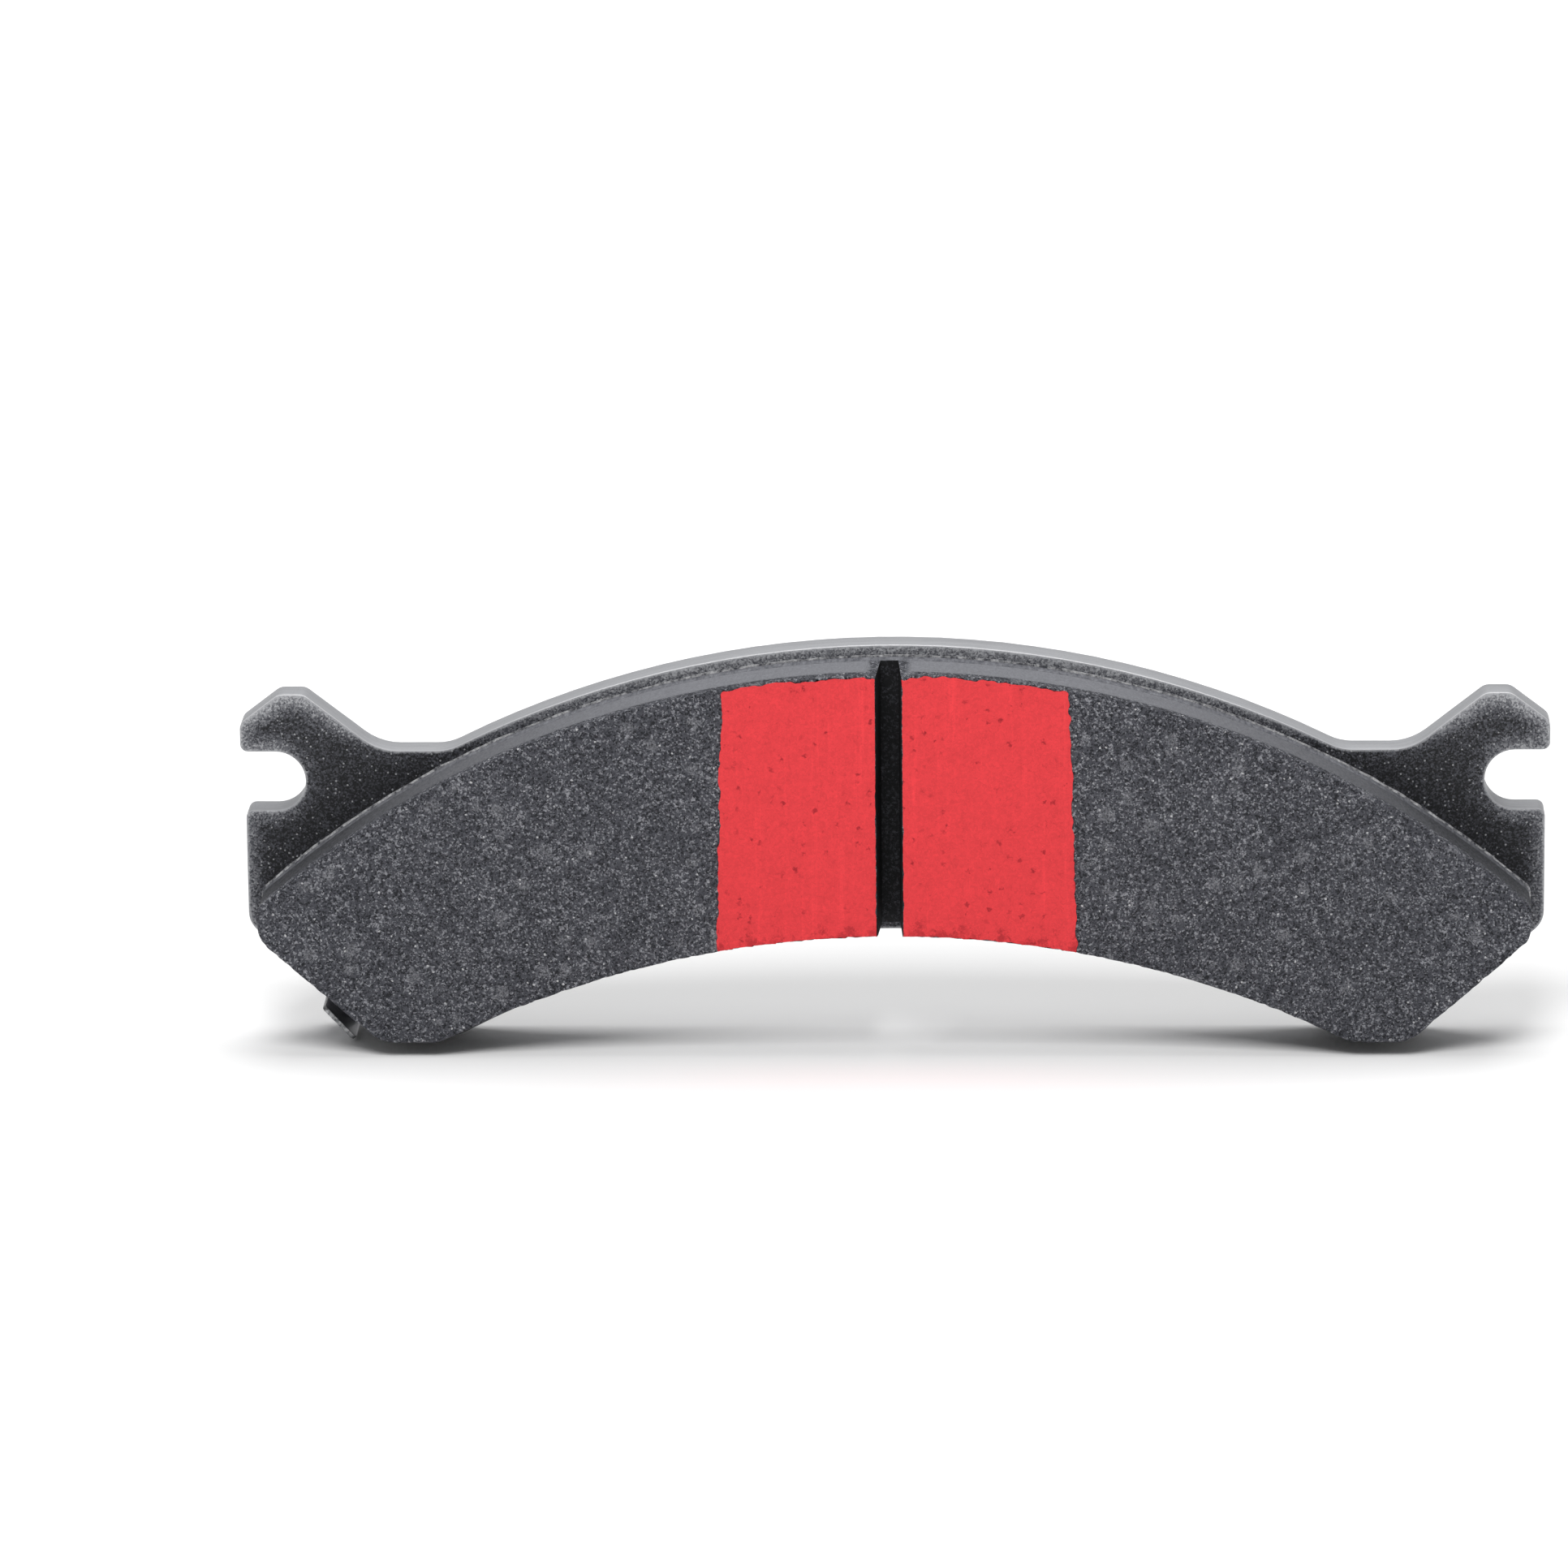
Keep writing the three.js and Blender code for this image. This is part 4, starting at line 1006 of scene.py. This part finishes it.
class BRAKEPAD_OT_wear_sensor(bpy.types.Operator):
    """Makes the wear sensor's folded strip and the rivet that holds it."""

    bl_idname = "brakepad.wear_sensor"
    bl_label = "Wear Sensor"

    def execute(self, context):
        sizes, colours = context.scene.brake_pad.sizes, context.scene.brake_pad.colours
        self.strip(sizes, colours)
        self.rivet(sizes, colours)
        return {"FINISHED"}

    def strip(self, sizes, colours):
        """Cuts the strip flat, folds it at the bend and the crest, and thickens it."""
        thick = SHEET_BACK - SHEET_FRONT
        middle_fold = sizes.crest_radius + thick / 2
        slope = sizes.ramp_angle
        crest_x = ARM_REACH - thick / 2 - middle_fold - middle_fold * math.sin(slope)
        crest_centre = crest_x * math.tan(slope) - middle_fold * math.cos(slope)
        bend_half = sizes.bend_radius * math.tan(slope / 2)
        bend_length = sizes.bend_radius * slope
        crest_turn = slope + math.radians(90)
        crest_start = -bend_half + bend_length + (crest_x / math.cos(slope) - bend_half)
        crest_length = middle_fold * crest_turn
        tail = crest_centre + (SHEET_BACK - thick / 2) - TAIL_END
        end = crest_start + crest_length + tail

        bm = bmesh.new()
        side_end = -(sizes.base_shoulder + sizes.base_side)
        half = [
            (side_end, BASE_HALF_WIDTH, millimetres(0.3)),
            (-sizes.base_shoulder, BASE_HALF_WIDTH, millimetres(0.3)),
            (-sizes.base_neck, sizes.base_neck_half, 0.0),
            (bend_length, ARM_HALF_WIDTH, 0.0),
            (end, ARM_HALF_WIDTH, millimetres(0.8)),
        ]
        outline = [(-sizes.base_apex, 0.0, millimetres(2.1))] + half
        outline += [(x, -z, corner) for x, z, corner in reversed(half)]
        points = [bm.verts.new((x, 0.0, z)) for x, z, corner in outline]
        bm.faces.new(points)
        corners = sorted({corner for x, z, corner in outline if corner > 0})
        for corner in corners:
            bmesh.ops.bevel(
                bm,
                geom=[p for p, (x, z, c) in zip(points, outline) if c == corner and p.is_valid],
                offset=corner,
                offset_type="OFFSET",
                segments=6,
                profile=0.5,
                affect="VERTICES",
                material=-1,
                clamp_overlap=False,
            )
        bmesh.ops.delete(bm, geom=bm.faces[:], context="FACES_ONLY")
        hole = Matrix.Translation((-sizes.rivet_set, 0, 0)) @ Matrix.Rotation(math.radians(90), 4, "X")
        head_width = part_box("sensor_rivet")[1].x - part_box("sensor_rivet")[0].x
        bmesh.ops.create_circle(
            bm, cap_ends=False, radius=head_width * RIVET_HOLE, segments=sizes.turned_steps, matrix=hole
        )
        bmesh.ops.triangle_fill(bm, use_beauty=True, use_dissolve=False, edges=bm.edges[:], normal=(0, 1, 0))
        folds = [
            (-bend_half, bend_length, slope, BEND_STEPS),
            (crest_start, crest_length, -crest_turn, CREST_STEPS),
        ]
        stations = [
            (start + span * (k + 0.5) / steps, turn / steps)
            for start, span, turn, steps in folds
            for k in range(steps)
        ]
        for position, turn in stations:
            slice_at(bm, 0, position)
        for k in range(1, STRIP_STEPS):
            position = side_end + (end - side_end) * k / STRIP_STEPS
            if all(abs(position - s) > millimetres(0.1) for s, turn in stations):
                slice_at(bm, 0, position)
        for position in (-3.0, -1.5, 0.0, 1.5, 3.0):
            slice_at(bm, 2, millimetres(position))
        along_layer = bm.verts.layers.float.new("along_mm")
        across_layer = bm.verts.layers.float.new("across_mm")
        for vert in bm.verts:
            vert[along_layer], vert[across_layer] = vert.co.x / MM, vert.co.z / MM
        for position, turn in sorted(stations, reverse=True):
            bmesh.ops.rotate(
                bm,
                verts=[v for v in bm.verts if v[along_layer] * MM > position + TOUCH],
                cent=(position, 0, 0),
                matrix=Matrix.Rotation(turn, 3, "Z"),
            )
        bmesh.ops.recalc_face_normals(bm, faces=bm.faces[:])
        if sum(face.normal.y for face in bm.faces if face.calc_center_median().x < 0) < 0:
            bmesh.ops.reverse_faces(bm, faces=bm.faces[:])
        bm.normal_update()
        for vert in bm.verts:
            vert.co += vert.normal * thick / 2
        inner_layer = bm.verts.layers.float.new("inner_side")
        outer_side = set(bm.verts)
        bmesh.ops.solidify(bm, geom=bm.faces[:], thickness=thick)
        for vert in bm.verts:
            vert[inner_layer] = 0.0 if vert in outer_side else 1.0
        for face in bm.faces:
            outer = sum(vert in outer_side for vert in face.verts)
            face.material_index = 1 if 0 < outer < len(face.verts) else 0
        bmesh.ops.recalc_face_normals(bm, faces=bm.faces[:])
        rims = [edge for edge in bm.edges if edge.calc_face_angle(0.0) > SHARP]
        bevel_edges(bm, rims, sizes.strip_rim, 2)
        axes = Matrix((ALONG_STRIP, Vector((0, 1, 0)), ACROSS_STRIP)).transposed().to_4x4()
        origin = Vector((BEND.x, SHEET_BACK - thick / 2, BEND.z))
        bmesh.ops.transform(bm, matrix=Matrix.Translation(origin) @ axes, verts=bm.verts)
        for vert in bm.verts:
            near = max(0.0, 1.0 - abs(vert[along_layer]) / 0.7)
            vert.co.y -= near * abs(lumps(vert.co, millimetres(0.9), 3.0)) * millimetres(0.06)
        finishes = [rolled_spring_steel(colours), cut_steel(colours, "sheared_spring_steel")]
        strip = place(
            bm, "folded_sensor_strip", None, ["sensor_base", "sensor_arm"], finishes, "spring_steel"
        )
        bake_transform(strip)

    def rivet(self, sizes, colours):
        """Turns the rivet, then batters its head."""
        low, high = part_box("sensor_rivet")
        radius = (high.x - low.x) / 2
        shank = radius * RIVET_SHANK
        seat = SHEET_BACK
        rise = high.y - seat
        foot = [(0.0, low.y), (radius * RIVET_FOOT, low.y), (shank, low.y + RIVET_FOOT_DEEP), (shank, seat)]
        profile = foot + [(radius * share, seat + rise * level) for share, level in RIVET_HEAD]
        bm = turned(profile, sizes.turned_steps)
        centre = (low + high) / 2
        bmesh.ops.translate(bm, verts=bm.verts, vec=(centre.x, 0, centre.z))
        for vert in bm.verts:
            if vert.co.y > seat + TOUCH:
                outward = Vector((vert.co.x - centre.x, 0, vert.co.z - centre.z))
                wobble = abs(lumps(Vector((vert.co.x, 0, vert.co.z)), millimetres(1.8), 4.0))
                vert.co -= outward * wobble * 0.14
                blow = lumps(vert.co, millimetres(1.1), 9.0) + 0.8 * lumps(vert.co, millimetres(0.55), 5.0)
                vert.co.y -= max(0.0, 0.35 + blow) * sizes.rivet_dent
        finish = zinc_plate(colours, "battered_rivet_steel", 0.12)
        place(bm, "battered_sensor_rivet", "pad", ["sensor_rivet"], [finish], "stud_steel", angle=60)


class BRAKEPAD_OT_stage(bpy.types.Operator):
    """Makes the floor, the soft lights and the camera."""

    bl_idname = "brakepad.stage"
    bl_label = "Stage"

    def execute(self, context):
        scene = context.scene
        colours = scene.brake_pad.colours
        bm = bmesh.new()
        bmesh.ops.create_grid(bm, x_segments=8, y_segments=8, size=FLOOR_HALF)
        floor = place(bm, "floor", None, [], [studio_floor(colours)])

        world = bpy.data.worlds.new("soft_studio")
        world.use_nodes = True
        background = world.node_tree.nodes["Background"]
        background.inputs["Color"].default_value = (1.0, 1.0, 1.0, 1.0)
        background.inputs["Strength"].default_value = ROOM_LIGHT
        scene.world = world
        for name, position, size, power in SOFTBOXES:
            self.softbox(name, position, size, power)

        camera = bpy.data.cameras.new("studio_camera")
        camera.lens, camera.sensor_width = CAMERA_LENS, CAMERA_SENSOR
        camera.clip_start, camera.clip_end = 0.05, 20.0
        holder = bpy.data.objects.new("studio_camera", camera)
        azimuth, elevation, roll = (math.radians(angle) for angle in CAMERA_ANGLES)
        level = math.cos(elevation)
        back = Vector((math.sin(azimuth) * level, -math.cos(azimuth) * level, math.sin(elevation)))
        right = (-back).cross(Vector((0, 0, 1))).normalized()
        up = right.cross(-back)
        turned_right = right * math.cos(roll) + up * math.sin(roll)
        turned_up = up * math.cos(roll) - right * math.sin(roll)
        facing = Matrix((turned_right, turned_up, back)).transposed().to_4x4()
        holder.matrix_world = Matrix.Translation(CAMERA_PLACE) @ facing
        scene.collection.objects.link(holder)
        scene.camera = holder
        scene.view_settings.view_transform = "Standard"
        return {"FINISHED"}

    @staticmethod
    def softbox(name, position, size, power):
        """A square area light that looks at the pad."""
        light = bpy.data.lights.new(name, "AREA")
        light.shape, light.size, light.energy = "SQUARE", size, power
        holder = bpy.data.objects.new(name, light)
        holder.location = position
        holder.rotation_euler = (LIT_POINT - Vector(position)).to_track_quat("-Z", "Y").to_euler()
        bpy.context.scene.collection.objects.link(holder)


class BRAKEPAD_PT_panel(bpy.types.Panel):
    """Lists the pad's pieces and settings in the sidebar."""

    bl_idname = "BRAKEPAD_PT_panel"
    bl_label = "Disc Brake Pad"
    bl_space_type = "VIEW_3D"
    bl_region_type = "UI"
    bl_category = "Brake Pad"

    def draw(self, context):
        for operator in OPERATORS:
            self.layout.operator(operator.bl_idname)
        for group in (context.scene.brake_pad.sizes, context.scene.brake_pad.colours):
            box = self.layout.box()
            for name in group.__annotations__:
                box.prop(group, name)


OPERATORS = (
    BRAKEPAD_OT_stage,
    BRAKEPAD_OT_backing_plate,
    BRAKEPAD_OT_lining,
    BRAKEPAD_OT_bedding_coats,
    BRAKEPAD_OT_shim,
    BRAKEPAD_OT_studs,
    BRAKEPAD_OT_wear_sensor,
)
CLASSES = (PadSizes, PadColours, PadSettings, *OPERATORS, BRAKEPAD_PT_panel)


def register():
    for cls in CLASSES:
        bpy.utils.register_class(cls)
    bpy.types.Scene.brake_pad = PointerProperty(type=PadSettings)


def unregister():
    del bpy.types.Scene.brake_pad
    for cls in reversed(CLASSES):
        bpy.utils.unregister_class(cls)


def main():
    register()
    bpy.ops.brakepad.stage()
    bpy.ops.brakepad.backing_plate()
    bpy.ops.brakepad.lining()
    bpy.ops.brakepad.bedding_coats()
    bpy.ops.brakepad.shim()
    bpy.ops.brakepad.studs()
    bpy.ops.brakepad.wear_sensor()


if __name__ == "__main__":
    main()
